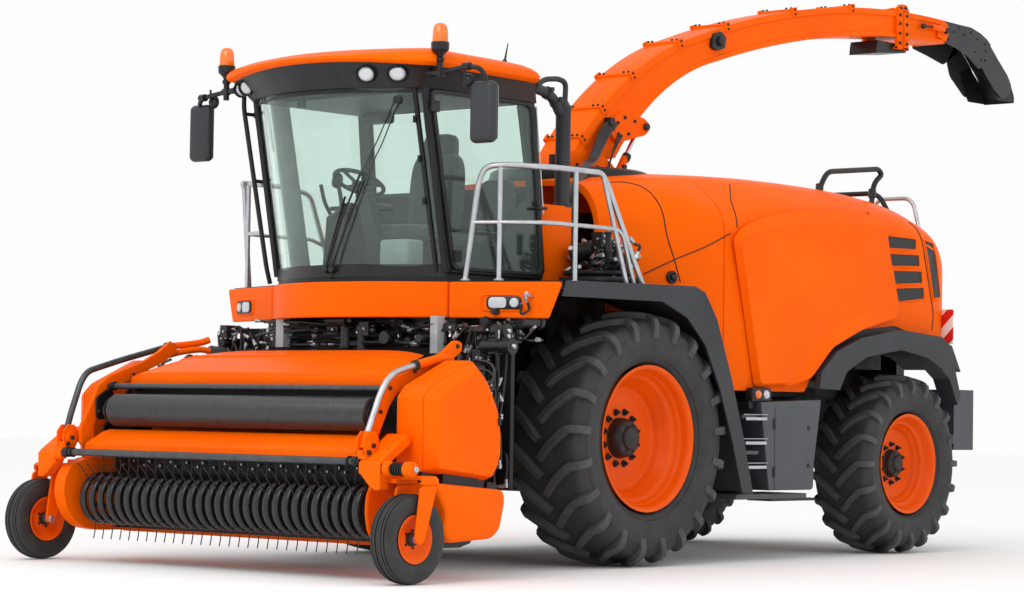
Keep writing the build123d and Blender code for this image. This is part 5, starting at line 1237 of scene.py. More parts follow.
def pad(centre, size, lean=0.0, channels=(), power=0.35, crown=0.18):
    # A closed cushion: a superellipsoid, pulled in between its corners, crowned, with channels pressed across it
    a = np.linspace(-math.pi / 2, math.pi / 2, 33)[:, None]
    b = np.linspace(0, 2 * math.pi, 64, endpoint=False)[None, :]

    def bulge(v, p):
        return np.sign(v) * np.abs(v) ** p

    x = bulge(np.cos(a), power) * bulge(np.cos(b), power) * size[0]
    y = bulge(np.cos(a), power) * bulge(np.sin(b), power) * size[1]
    z = bulge(np.sin(a), power) * size[2] + 0 * b
    if size[1] < size[2]:  # a backrest: it is thickest in its middle
        y = y * (1 - crown * ((x / size[0]) ** 2 + (z / size[2]) ** 2) / 1.6)
        for at in channels:
            y = y * (1 - 0.16 * np.exp(-((z - at * size[2]) / 0.012) ** 2))
        x = x * (1 - 0.12 * np.clip(z / size[2], 0, 1) ** 2)
    else:
        z = z * (1 - crown * ((x / size[0]) ** 2 + (y / size[1]) ** 2) / 1.6)
        for at in channels:
            z = z * (1 - 0.16 * np.exp(-((y - at * size[1]) / 0.012) ** 2))
    c, s = math.cos(lean), math.sin(lean)
    return grid(np.stack([x + centre[0], y * c + z * s + centre[1], z * c - y * s + centre[2]], -1), closeColumns=True)


def makeCabInside():
    # Two padded seats, the console, the steering column and wheel, the sticks and the lining
    seats = [("driver_cushion", pad((0, -1.10, 2.475), (0.255, 0.27, 0.065), channels=(-0.45, 0.1, 0.6))),
             ("driver_backrest", pad((0, -0.80, 2.80), (0.25, 0.075, 0.30), 0.08, (-0.55, -0.2, 0.15, 0.5))),
             ("driver_headrest", pad((0, -0.765, 3.13), (0.16, 0.055, 0.12), 0.08, (0.3,))),
             ("passenger_cushion", pad((0.585, -0.97, 2.43), (0.165, 0.18, 0.05), channels=(0.0,))),
             ("passenger_backrest", pad((0.585, -0.775, 2.68), (0.165, 0.05, 0.20), 0.08, (0.2,)))]
    for k, (name, shape) in enumerate(seats):
        piece = addPiece(name, shape, "chassis", seatCloth, smooth=80,
                         replaces=("cab_interior",) if k == 0 else ())
    base = [boxShape((-0.20, -1.25, 2.14), (0.20, -0.85, 2.20)), boxShape((-0.16, -1.2, 2.2), (0.16, -0.9, 2.38)),
            boxShape((-0.21, -1.30, 2.385), (0.21, -0.84, 2.415)), boxShape((0.46, -1.1, 2.14), (0.71, -0.8, 2.37))]
    column = slab([(-1.42, 2.14), (-1.30, 2.14), (-1.575, 2.74), (-1.635, 2.74)], -0.065, 0.13)
    console = slab([(-1.48, 2.14), (-1.02, 2.14), (-0.98, 2.60), (-1.05, 2.635), (-1.33, 2.655), (-1.44, 2.60)], -0.55,
                   0.19)
    cabinet = slab([(-1.05, 2.14), (-0.62, 2.14), (-0.66, 2.62), (-1.02, 2.62)], -0.78, 0.22)
    box = roundedBox((0.12, -1.56, 2.145), (0.40, -1.36, 2.40), 0.03)
    addPiece("cab_furniture", join(*base, column, console, cabinet), "chassis", absBlack, bevel=0.012)
    screenSide = slab([(-1.55, 2.14), (-1.34, 2.14), (-1.62, 3.45), (-1.815, 3.45)], -0.80, 0.02)
    rearPanel = boxShape((-0.75, -0.68, 2.16), (0.75, -0.655, 2.50))
    addPiece("cab_pale_trim", join(box, screenSide, rearPanel), "chassis", coatPale, bevel=0.01)
    turn = np.linspace(0, 2 * math.pi, 48, endpoint=False)
    tilt = np.array([[1, 0, 0], [0, 0.91, -0.42], [0, 0.42, 0.91]])
    radius, centre = 0.19, (0, -1.655, 2.82)
    circle = np.stack([radius * np.cos(turn), radius * np.sin(turn), 0 * turn], -1) @ tilt + centre
    spokes = [carry([np.array([radius * math.cos(a), radius * math.sin(a), 0]) @ tilt + centre, (0, -1.655, 2.80)],
                    ring(0.014, 8)) for a in (0.3, math.pi - 0.3, -math.pi / 2)]
    hub = turned([(-0.03, 0.0), (-0.03, 0.05), (0.01, 0.055), (0.016, 0.04), (0.018, 0.0)], (0, -1.655, 2.805),
                 np.array([0, 0, 1]) @ tilt)
    stick = [tube([(-0.45, -1.36, 2.64), (-0.45, -1.40, 2.80), (-0.45, -1.42, 2.84)], 0.016, 0.03),
             pad((-0.45, -1.425, 2.87), (0.035, 0.04, 0.06), 0.2, (), 0.7, 0),
             boxShape((-0.53, -1.42, 2.645), (-0.37, -1.05, 2.675)),
             roundedBox((-0.52, -1.15, 2.66), (-0.38, -0.86, 2.72), 0.025)]
    stick += [turned([(0, 0.014), (0.03, 0.012), (0.034, 0.0)],
                     (-0.50 + 0.035 * (k % 4), -1.33 + 0.05 * (k // 4), 2.675),
                     (0, 0, 1), 10) for k in range(12)]
    monitor = tube([(-0.64, -1.2, 2.5), (-0.65, -1.36, 2.72), (-0.65, -1.40, 2.85)], 0.015, 0.05)
    addPiece("steering_and_sticks", join(carry(circle, ring(0.0165, 10), closed=True), *spokes, hub, *stick, monitor),
             "chassis", absBlack, smooth=45)
    lining = boxShape((-0.78, -1.90, 3.425), (0.78, -0.80, 3.448))
    inner = [roundedBox((0.50, -1.80, 3.29), (0.66, -1.74, 3.42), 0.02),
             boxShape((-0.30, -2.02, 3.36), (-0.24, -1.98, 3.44)),
             roundedBox((-0.62, -1.0, 3.35), (-0.40, -0.85, 3.43), 0.02),
             boxShape((-0.785, -0.74, 2.785), (0.785, -0.70, 2.82))]
    addPiece("cab_lining", join(lining, *inner), "chassis", plasticGrey, bevel=0.004)


makeRoof()
makeCabFrame()
makeCabLamps()
makeMirrors()
makeWipers()
makeDoor()
makeCabInside()
print("cab made")


turntableAxis = (0, 0.78, 0)
# Rows of the hood's cross-section along the machine: y, half width, shoulder height, half width on top, top height
hood = dict(rows=[(0.05, 0.90, 2.70, 0.76, 2.95), (0.70, 1.215, 2.79, 0.93, 3.035), (1.25, 1.345, 2.70, 1.01, 3.075),
                  (2.05, 1.36, 2.83, 1.02, 3.10), (3.15, 1.36, 2.85, 1.00, 3.085), (3.95, 1.36, 2.74, 0.94, 3.02),
                  (4.30, 1.29, 2.60, 0.86, 2.93), (4.62, 1.04, 2.40, 0.70, 2.74)],
            feet=[(0.05, 2.10), (0.42, 2.10), (0.62, 1.34), (1.43, 1.34), (2.16, 1.34), (2.40, 1.66), (2.85, 1.86),
                  (3.46, 1.92), (4.05, 1.80), (4.30, 1.72), (4.62, 1.70)],
            flap=[(1.45, 1.365), (1.275, 2.06), (1.15, 2.53), (1.283, 2.632), (1.616, 2.74), (2.03, 2.802),
                  (2.6, 2.834), (3.225, 2.836), (3.31, 2.47), (3.43, 2.14), (3.455, 1.99), (2.848, 1.868),
                  (2.417, 1.71), (2.12, 1.45), (1.88, 1.385)])


def smoothTrack(knots, at):
    # Values read along a Catmull-Rom curve through (y, value) knots
    curve = curvedPath([(y, 0, value) for y, value in knots], 12)
    return np.interp(at, curve[:, 0], curve[:, 2])


def hoodSection(y):
    # (half, shoulder, top half, top) at each y
    return [smoothTrack([(row[0], row[k]) for row in hood["rows"]], y) for k in (1, 2, 3, 4)]


def hoodLoop(y):
    # One half of the section: up the side, over the rounded shoulder and edge, and across the crowned top
    half, shoulder, topHalf, top = hoodSection(y)
    foot = np.interp(y, *zip(*hood["feet"]))
    corners = [(half - 0.012, 0, foot), (half, 0, foot + 0.3 * (shoulder - foot)), (half, 0, shoulder),
               (topHalf, 0, top - 0.045),
               (topHalf * 0.55, 0, top), (0, 0, top)]
    return roundedPath(corners, 0.16, 7)[:, (0, 2)]


def makeHood():
    # Two skins with a narrow joint between them; at each end the section is drawn in a little, then turned inwards
    shapes = []
    for first, last, count in ((0.05, 1.083, 30), (1.098, 4.62, 90)):
        stations = np.linspace(first, last, count)
        rows = [np.insert(hoodLoop(y), 1, y, axis=1) for y in stations]
        loops = [np.concatenate([row, row[::-1][1:] * (-1, 1, 1)]) for row in rows]
        ends = [(loop * (0.991, 1, 1) - (0, 0, 0.0108)) * (1, 0, 1) + (0, y, 0)
                for loop, y in ((loops[0], first - 0.004), (loops[-1], last + 0.004))]
        loops = [ends[0]] + loops + [ends[1]]
        inner = [loop * (0.965, 1, 1) - (0, 0, 0.035) * (loop[:, 2:] > 2.2) for loop in (loops[0], loops[-1])]
        shapes.append(grid(np.stack([inner[0]] + loops + [inner[1]])))
    return shapes


def onHood(y, z, off):
    # A point that stands off from the hood's side at a height, read off the section's half loop
    loop = hoodLoop(y)
    upTo = np.argmax(loop[:, 1])
    return np.array([np.interp(z, loop[:upTo + 1, 1], loop[:upTo + 1, 0]) + off, y, z])


def hoodSeam(knots):
    # A dark joint line: a thin cord laid on the hood's side
    path = np.array([onHood(y, z, 0.0015) for y, z in curvedPath([(0, *knot) for knot in knots])[:, 1:]])
    return carry(path, ring(0.005, 6))


def makeFlaps():
    # The outer edge, and inside it the raised face: a wide slope between them above, a flare that leans out below
    outline = np.asarray(hood["flap"])
    face = np.array([(1.468, 1.395), (1.295, 2.06), (1.182, 2.51), (1.30, 2.568), (1.62, 2.648), (2.03, 2.706),
                     (2.6, 2.742), (3.232, 2.752), (3.297, 2.47), (3.415, 2.14), (3.43, 2.075), (2.78, 1.975),
                     (2.30, 1.80), (2.015, 1.53), (1.855, 1.41)])
    edgeX = np.array([1.368] * 10 + [1.40, 1.446, 1.452, 1.444, 1.40])
    faceX = 1.420
    rows = [roundedLoop3(np.insert(outline, 0, 1.362, axis=1), 0.05),
            roundedLoop3(np.insert(outline, 0, edgeX, axis=1), 0.05),
            roundedLoop3(np.insert(0.05 * face + 0.95 * outline, 0, edgeX + 0.002, axis=1), 0.05),
            roundedLoop3(np.insert(0.95 * face + 0.05 * outline, 0, 0.9 * faceX + 0.1 * edgeX, axis=1), 0.05),
            roundedLoop3(np.insert(face, 0, faceX, axis=1), 0.05),
            roundedLoop3(np.insert(inset(face, 0.03), 0, faceX + 0.0015, axis=1), 0.03)]
    skin = loft(rows)
    for side, flip in (("left", asDrawn), ("right", mirrored)):
        addPiece("side_flap_skin_" + side, flip(skin), "side_flap_" + side, orange, smooth=12,
                 replaces=("side_flap_" + side,))


louvres = [[(3.276, 2.672), (3.756, 2.665), (3.750, 2.582), (3.335, 2.572)],
           [(3.355, 2.522), (3.802, 2.532), (3.814, 2.442), (3.395, 2.424)],
           [(3.415, 2.382), (3.845, 2.396), (3.858, 2.300), (3.446, 2.274)],
           [(3.457, 2.234), (3.879, 2.258), (3.893, 2.168), (3.491, 2.126)],
           [(3.905, 2.665), (4.06, 2.648), (4.195, 2.19), (4.06, 2.18)]]


def makeHoodFittings():
    # Seams and louvres laid on the hood's side, the fuel cap, the skirt round the turntable and the tube hoops
    seams = [hoodSeam(line) for line in
             ([(0.30, 2.93), (0.42, 2.935), (0.50, 2.90), (0.524, 2.788), (0.565, 2.535), (0.630, 2.338),
               (0.682, 2.167)],
              [(0.394, 2.219), (0.630, 2.338), (0.899, 2.450), (1.155, 2.570)],
              [(1.50, 2.99), (1.435, 2.945), (1.293, 2.806), (1.235, 2.62)],
              [(3.10, 2.86), (3.205, 2.765), (3.257, 2.693)],
              [(3.80, 2.82), (3.847, 2.762), (3.862, 2.674), (3.918, 2.480), (4.012, 2.200), (4.066, 2.037),
               (4.054, 1.904)])]
    addPiece("hood_seams", bothSides(join(*seams)), "chassis", absBlack, smooth=50)
    nets, frames = [], []
    for corners in louvres:
        hole = roundedLoop(corners, 0.012, 4)
        hole = np.concatenate([np.linspace(a, b, 4, endpoint=False) for a, b in zip(hole, np.roll(hole, -1, 0))])
        centre = np.mean(hole, 0)
        away = (hole - centre) / np.linalg.norm(hole - centre, axis=1, keepdims=True)
        lip = [np.array([onHood(y, z, off) for y, z in hole + away * wide])
               for wide, off in ((0.0, 0.001), (0.0, 0.009), (0.004, 0.012), (0.014, 0.012), (0.022, 0.002))]
        frames.append(grid(np.stack(lip), closeColumns=True))
        y, z = (share[..., None] for share in np.meshgrid(np.linspace(0, 1, 9), np.linspace(0, 1, 5)))
        a, b, c, d = (np.array(corner) for corner in corners)
        plane = (a * (1 - y) + b * y) * (1 - z) + (d * (1 - y) + c * y) * z
        nets.append(grid(np.array([[onHood(*point, 0.004) for point in row] for row in plane])))
    addPiece("louvre_frames", bothSides(join(*frames)), "chassis", orange, smooth=45)
    # The louvres are not cut through: a net 4 mm off the skin, its holes painted near-black as painted shade of the
    # opening
    addPiece("louvre_nets", bothSides(join(*nets)), "chassis", screen, smooth=60)
    cap = turned([(0, 0.0), (0, 0.05), (0.02, 0.05), (0.024, 0.046), (0.024, 0.034), (0.012, 0.03), (0.012, 0.0)],
                 (1.172, 0.61, 2.202), (1, -0.2, 0), 28)
    nuts = bolts([(1.185, 0.608, 2.202)], (1, -0.2, 0), 0.024, 0.03)
    addPiece("fuel_caps", cap, "chassis", absBlack, smooth=40)
    addPiece("fuel_cap_nuts", nuts, "chassis", castIron, bevel=0.002)
    skirt = turned([(2.96, 0.345), (3.06, 0.345), (3.078, 0.36), (3.078, 0.60), (3.06, 0.64), (3.0, 0.655),
                    (2.96, 0.65)],
                   turntableAxis, (0, 0, 1), 72)
    addPiece("turntable_skirt", skirt, "turntable", absBlack, smooth=45)
    hoops = [tube([(0.85, 3.055, 2.95), (0.85, 3.075, 3.10), (0.85, 3.18, 3.225), (0.85, 3.95, 3.305),
                   (0.85, 4.01, 3.262), (0.85, 3.88, 3.17), (0.85, 3.84, 2.92)], 0.0235, 0.07, 18),
             tube([(0.05, 4.2, 2.92), (0.08, 4.2, 3.12), (0.69, 4.2, 3.118), (0.82, 4.2, 2.90)], 0.0225, 0.10, 18)]
    hoops += [turned([(0, 0.0), (0, 0.034), (0.07, 0.034), (0.075, 0.028), (0.075, 0.0)], place, direction, 20)
              for place, direction in (((0.85, 3.06, 3.04), (0, 0.08, 1)), ((0.85, 3.855, 3.05), (0, 0.12, 1)))]
    addPiece("hood_hoops", join(*hoops), "chassis", absBlack, smooth=50)
    silver = tube([(0.42, 4.5, 2.80), (0.46, 4.5, 3.09), (0.85, 4.5, 3.088), (0.97, 4.5, 2.62)], 0.019, 0.1, 18)
    addPiece("hood_rear_rail", silver, "chassis", tubeSteel, smooth=50)


addPiece("hood_skin", join(*makeHood()), "chassis", orange, smooth=38,
         replaces=("hood_front", "hood_rear"))
makeFlaps()
makeHoodFittings()
print("hood made")


def makeServiceBoxes():
    # The box behind the cab on each side, and the air pipe on the left one
    box = roundedBox((0.36, -0.585, 2.125), (0.862, -0.22, 2.705), 0.014, 3)
    addPiece("service_box_panels", bothSides(box), "chassis", orange, smooth=35,
             replaces=("service_boxes",))
    pipe = [turned([(2.70, 0.0), (2.70, 0.064), (2.73, 0.064), (2.735, 0.058), (3.44, 0.058), (3.445, 0.063),
                    (3.475, 0.063), (3.48, 0.05), (3.52, 0.03), (3.52, 0.0)], (0.78, -0.245, 0), (0, 0, 1), 28),
            tube([(0.78, -0.232, 3.42), (0.78, -0.222, 3.655), (0.78, -0.31, 3.674), (0.78, -0.47, 3.655),
                  (0.78, -0.56, 3.60), (0.78, -0.74, 3.585)], 0.021, 0.06, 14),
            tube([(0.78, -0.66, 3.585), (0.78, -0.46, 3.56), (0.78, -0.36, 3.515), (0.78, -0.29, 3.42)], 0.040, 0.08,
                 16)]
    for place, direction in (((0.78, -0.44, 3.553), (0, 1, -0.3)), ((0.78, -0.335, 3.49), (0, 0.7, -1)),
                             ((0.78, -0.60, 3.578), (0, 1, -0.1))):
        pipe.append(disc(0.014, 0.05, place, direction, 24))
        pipe.append(boxShape(np.array(place) + (0.04, -0.014, 0.01), np.array(place) + (0.062, 0.014, 0.04)))
    pipe += [boxShape((0.70, -0.30, 2.69), (0.86, -0.18, 2.71)), tube([(0.70, -0.10, 2.70), (0.70, -0.10, 2.14)], 0.02)]
    addPiece("air_pipe", join(*pipe), "chassis", plasticGrey, smooth=45)


def makeRails():
    # Tube rails round the platform, and the dark grab bars beside the cab's right front pillar
    near = [tube([(0.965, -1.54, 2.085), (1.055, -1.515, 2.78), (1.10, -1.50, 2.90), (1.23, -1.45, 2.915),
                  (1.44, -1.30, 2.90), (1.5, -1.20, 2.90), (1.5, -0.66, 2.90), (1.5, -0.60, 2.84),
                  (1.5, -0.15, 2.085)], 0.021, 0.11, 14, 8),
            tube([(1.018, -1.528, 2.5), (1.24, -1.442, 2.5), (1.48, -1.25, 2.5), (1.5, -1.18, 2.5), (1.5, -0.47, 2.5),
                  (1.5, -0.40, 2.46), (1.5, -0.255, 2.085)], 0.016, 0.07),
            tube([(1.21, -1.452, 2.085), (1.21, -1.452, 2.91)], 0.018),
            tube([(1.5, -0.95, 2.085), (1.5, -0.95, 2.90)], 0.018),
            tube([(1.5, -0.64, 2.885), (1.5, -0.345, 2.085)], 0.018)]
    near += [turned([(0, 0.0), (0, 0.038), (0.01, 0.038), (0.014, 0.024), (0.02, 0.022)], (x, y, 2.082), (0, 0, 1), 18)
             for x, y in ((0.965, -1.54), (1.21, -1.452), (1.5, -0.95), (1.5, -0.345), (1.5, -0.255), (1.5, -0.15))]
    far = [tube([(-1.52, -1.30, 2.085), (-1.545, -1.345, 2.86), (-1.545, -1.37, 2.90), (-1.545, -0.90, 2.90),
                 (-1.545, -0.62, 2.86), (-1.545, -0.30, 2.085)], 0.021, 0.07),
           tube([(-1.53, -1.33, 2.5), (-1.545, -0.60, 2.5), (-1.545, -0.47, 2.46)], 0.016, 0.05),
           tube([(-1.49, -1.35, 2.085), (-1.49, -1.35, 2.885)], 0.018),
           tube([(-1.545, -0.75, 2.085), (-1.545, -0.75, 2.90)], 0.018),
           tube([(-1.49, -1.35, 2.885), (-1.18, -1.50, 2.87)], 0.018, 0.05),
           tube([(-1.49, -1.35, 2.50), (-1.18, -1.50, 2.49)], 0.016, 0.05)]
    addPiece("platform_rails", join(*near, *far), "chassis", tubeSteel, smooth=50,
             replaces=("handrails",))
    lean = 0.225
    bars = [tube([(-0.955, -1.62, 2.09), (-0.955, -1.66, 2.20), (-0.955, -1.93, 3.40), (-0.955, -1.93, 3.50)], 0.018,
                 0.06),
            tube([(-0.955, -1.50, 2.09), (-0.955, -1.53, 2.20), (-0.955, -1.80, 3.40), (-0.955, -1.80, 3.50)], 0.020,
                 0.06)]
    bars += [tube([(-0.955, -1.66 - lean * (z - 2.2), z), (-0.955, -1.53 - lean * (z - 2.2), z)], 0.014)
             for z in (2.86, 3.36)]
    bars += [disc(0.02, 0.028, (-0.955, -1.53 - lean * (z - 2.2), z), (0, 0, 1), 16)
             for z in (2.86, 3.36, 2.30)]
    addPiece("far_grab_bars", join(*bars), "chassis", absBlack, smooth=50)


bandLamps = dict(along=np.array([0.8, 0.3, 0]) / math.hypot(0.8, 0.3),
                 square=np.array([0.3, -0.8, 0]) / math.hypot(0.3, 0.8),
                 start=np.array([0.9, -1.65, 0]))


def bandPoint(across, z, off):
    # A point on the slanted side band: a distance along it, a height, and a distance off its face
    return bandLamps["start"] + bandLamps["along"] * across + bandLamps["square"] * off + (0, 0, z)


def bandSlab(outline, low, high, shrink=0.0):
    # An outline of (across, z) on the side band, stood off from low to high, drawn in a little at its face
    outline = np.asarray(outline, float)
    levels = [(0.0, low), (0.0, high - 0.003), (0.004 + shrink, high)]
    rows = [np.array([bandPoint(a, z, off) for a, z in inset(outline, by)]) for by, off in levels]
    return loft(rows)


def makeFrontPanels():
    # The panels, and a lamp group let into each side band
    softened("front_panels", 0.012, orange, 35)
    for side, shift, flip in (("near", 0.0, asDrawn), ("far", 0.09, mirrored)):
        pocket = roundedLoop([(0.265 + shift, 1.868), (0.265 + shift, 1.972), (0.565 + shift, 1.972),
                              (0.585 + shift, 1.868)], 0.04, 6)
        rim = inset(pocket, -0.014)
        lip = [np.array([bandPoint(a, z, off) for a, z in line]) for line, off in
               ((rim, 0.001), (inset(rim, 0.004), 0.007), (inset(pocket, -0.003), 0.008), (pocket, 0.003))]
        addPiece("band_lamp_rim_" + side, flip(grid(np.stack(lip), closeColumns=True)), "chassis", orange,
                 smooth=60)
        bezel = bandSlab(roundedLoop([(0.30 + shift, 1.874), (0.30 + shift, 1.966), (0.562 + shift, 1.966),
                                      (0.575 + shift, 1.874)],
                                     0.035, 6), 0.0, 0.010)
        addPiece("band_lamp_bezel_" + side, flip(bezel), "chassis", absBlack, smooth=40)
        lenses = [bandSlab(roundedLoop([(0.318 + shift, 1.882), (0.318 + shift, 1.958), (0.452 + shift, 1.958),
                                        (0.452 + shift, 1.882)],
                                       0.03, 6), 0.008, 0.017, 0.006),
                  turned([(0.0, 0.036), (0.012, 0.032), (0.016, 0.018), (0.017, 0.0)],
                         bandPoint(0.512 + shift, 1.92, 0.006),
                         bandLamps["square"], 28)]
        addPiece("band_lamp_lenses_" + side, flip(join(*lenses)), "chassis", clearLens, smooth=50)


def makeGuards():
    # Fenders, toolboxes, steps, marker lamps, striped boards and tail lamps
    for node, bevel, finish in (("front_fenders", 0.022, plasticGrey), ("rear_fenders", 0.025, plasticGrey),
                                ("toolboxes", 0.012, coatGrey), ("rear_bumper", 0.014, coatGrey)):
        softened(node, bevel, finish, 30)
    arch = [(2.33, 1.60), (2.60, 1.77), (2.95, 1.91), (3.45, 1.97), (4.05, 1.87), (4.40, 1.78), (4.55, 1.55),
            (4.30, 1.62), (3.90, 1.74), (3.40, 1.82), (2.95, 1.75), (2.60, 1.60), (2.42, 1.42)]
    addPiece("rear_arch_tops", bothSides(slab(arch, 1.16, 0.18)), "chassis", plasticGrey, bevel=0.01)
    wells = [boxShape((-0.38, 2.75, 1.12), (0.38, 4.46, 1.95)), boxShape((-0.72, 4.47, 1.25), (0.72, 4.60, 1.95))]
    addPiece("wheel_well_walls", join(*wells), "chassis", coatBlack, bevel=0.006)
    steps = []
    for z in (0.74, 0.93, 1.12):
        steps.append(boxShape((1.448, 1.22, z - 0.012), (1.462, 1.50, z + 0.012)))
        steps.append(boxShape((1.445, 1.20, z + 0.03), (1.456, 1.52, z + 0.036)))
    doors = [roundedSlab([(1.62, 0.56), (1.62, 1.215), (2.17, 1.215), (2.15, 0.56)], 0.03, 1.447, 0.007)]
    addPiece("toolbox_doors", bothSides(join(*doors)), "chassis", coatGrey, bevel=0.002)
    addPiece("step_treads", bothSides(join(*steps)), "chassis", tubeSteel, bevel=0.002)
    latches = [turned([(0, 0.0), (0, 0.02), (0.006, 0.018), (0.008, 0.0)], (1.453, 2.08, z), (1, 0, 0), 18)
               for z in (0.75, 1.05)]
    latches += [boxShape((1.452, 1.60, z), (1.460, 1.625, z + 0.08)) for z in (0.66, 1.04)]
    latches += [boxShape((1.20, 1.60, 0.47), (1.44, 2.2, 0.492))]
    addPiece("toolbox_latches", bothSides(join(*latches)), "chassis", absBlack, bevel=0.002)
    block = [roundedBox((1.345, 1.36, 1.245), (1.42, 1.62, 1.365), 0.02),
             boxShape((1.30, 1.34, 1.20), (1.40, 1.7, 1.26))]
    addPiece("marker_blocks", bothSides(join(*block)), "chassis", absBlack, bevel=0.003)
    for name, y, finish in (("amber", 1.43, amberLens), ("clear", 1.54, clearLens)):
        lens = turned([(0, 0.036), (0.01, 0.034), (0.02, 0.024), (0.023, 0.0)], (1.418, y, 1.31), (1, 0, 0), 26)
        addPiece("marker_lens_" + name, bothSides(lens), "chassis", finish, smooth=50)
    boards = slab(roundedLoop([(1.25, 1.79), (1.25, 2.09), (1.405, 2.09), (1.405, 1.79)], 0.008, 3), 4.30, 0.012, 1)
    addPiece("warning_boards", bothSides(boards), "chassis", stripes, bevel=0.002)
    stays = [boxShape((1.26, 4.312, 1.84), (1.36, 4.34, 1.88)), boxShape((1.20, 4.32, 1.98), (1.34, 4.34, 2.03)),
             boxShape((1.10, 4.315, 1.85), (1.30, 4.345, 2.02))]
    addPiece("board_stays", bothSides(join(*stays)), "chassis", absBlack, bevel=0.003)
    lamps = slab([(-0.62, 1.42), (-0.62, 1.62), (-0.34, 1.62), (-0.34, 1.42)], 4.66, 0.04, 1)
    addPiece("tail_lamps", bothSides(lamps), "chassis", redLens, bevel=0.01)


makeServiceBoxes()
makeRails()
makeFrontPanels()
makeGuards()
print("platform made")


spout = dict(outer=[((0.5, 3.08), (1.168, 3.785), (2.2, 4.322)), ((2.2, 4.322), (4.05, 4.778), (6.07, 4.898))],
             inner=[((1.15, 3.215), (1.706, 3.768), (2.5, 4.14)), ((2.5, 4.14), (4.2, 4.535), (6.07, 4.68))],
             half=0.178, steps=36)


def arcThrough(first, middle, last, steps):
    # A circular arc through three points: its centre lies where the chords' two square bisectors cross
    (ax, ay), (bx, by), (cx, cy) = first, middle, last
    d = 2 * (ax * (by - cy) + bx * (cy - ay) + cx * (ay - by))
    ux = ((ax ** 2 + ay ** 2) * (by - cy) + (bx ** 2 + by ** 2) * (cy - ay) + (cx ** 2 + cy ** 2) * (ay - by)) / d
    uy = ((ax ** 2 + ay ** 2) * (cx - bx) + (bx ** 2 + by ** 2) * (ax - cx) + (cx ** 2 + cy ** 2) * (bx - ax)) / d
    a0, a1, a2 = (math.atan2(y - uy, x - ux) for x, y in (first, middle, last))
    turn = np.linspace(a0, a2, steps)
    if not min(a0, a2) < a1 < max(a0, a2):
        turn = np.linspace(a0, a2 - math.copysign(2 * math.pi, a2 - a0), steps)
    return np.column_stack([ux + np.hypot(ax - ux, ay - uy) * np.cos(turn),
                            uy + np.hypot(ax - ux, ay - uy) * np.sin(turn)])


def spoutLines():
    # The outer and the inner line of the chute, point against point
    lines = []
    for key in ("outer", "inner"):
        arcs = [arcThrough(*arc, spout["steps"]) for arc in spout[key]]
        lines.append(np.concatenate([arcs[0], arcs[1][1:]]))
    return lines


def spoutPoint(t, share, x):
    # A point on the chute: t along it, share of the way from the outer line to the inner one
    outer, inner = spoutLines()
    at = t * (len(outer) - 1)
    pick = lambda line: np.array([np.interp(at, np.arange(len(line)), line[:, k]) for k in (0, 1)])
    y, z = pick(outer) * (1 - share) + pick(inner) * share
    return np.array([x, y, z])


def spoutAt(y):
    # The share of the chute's length at which its outer line reaches y
    outer = spoutLines()[0]
    return float(np.interp(y, outer[:, 0], np.linspace(0, 1, len(outer))))


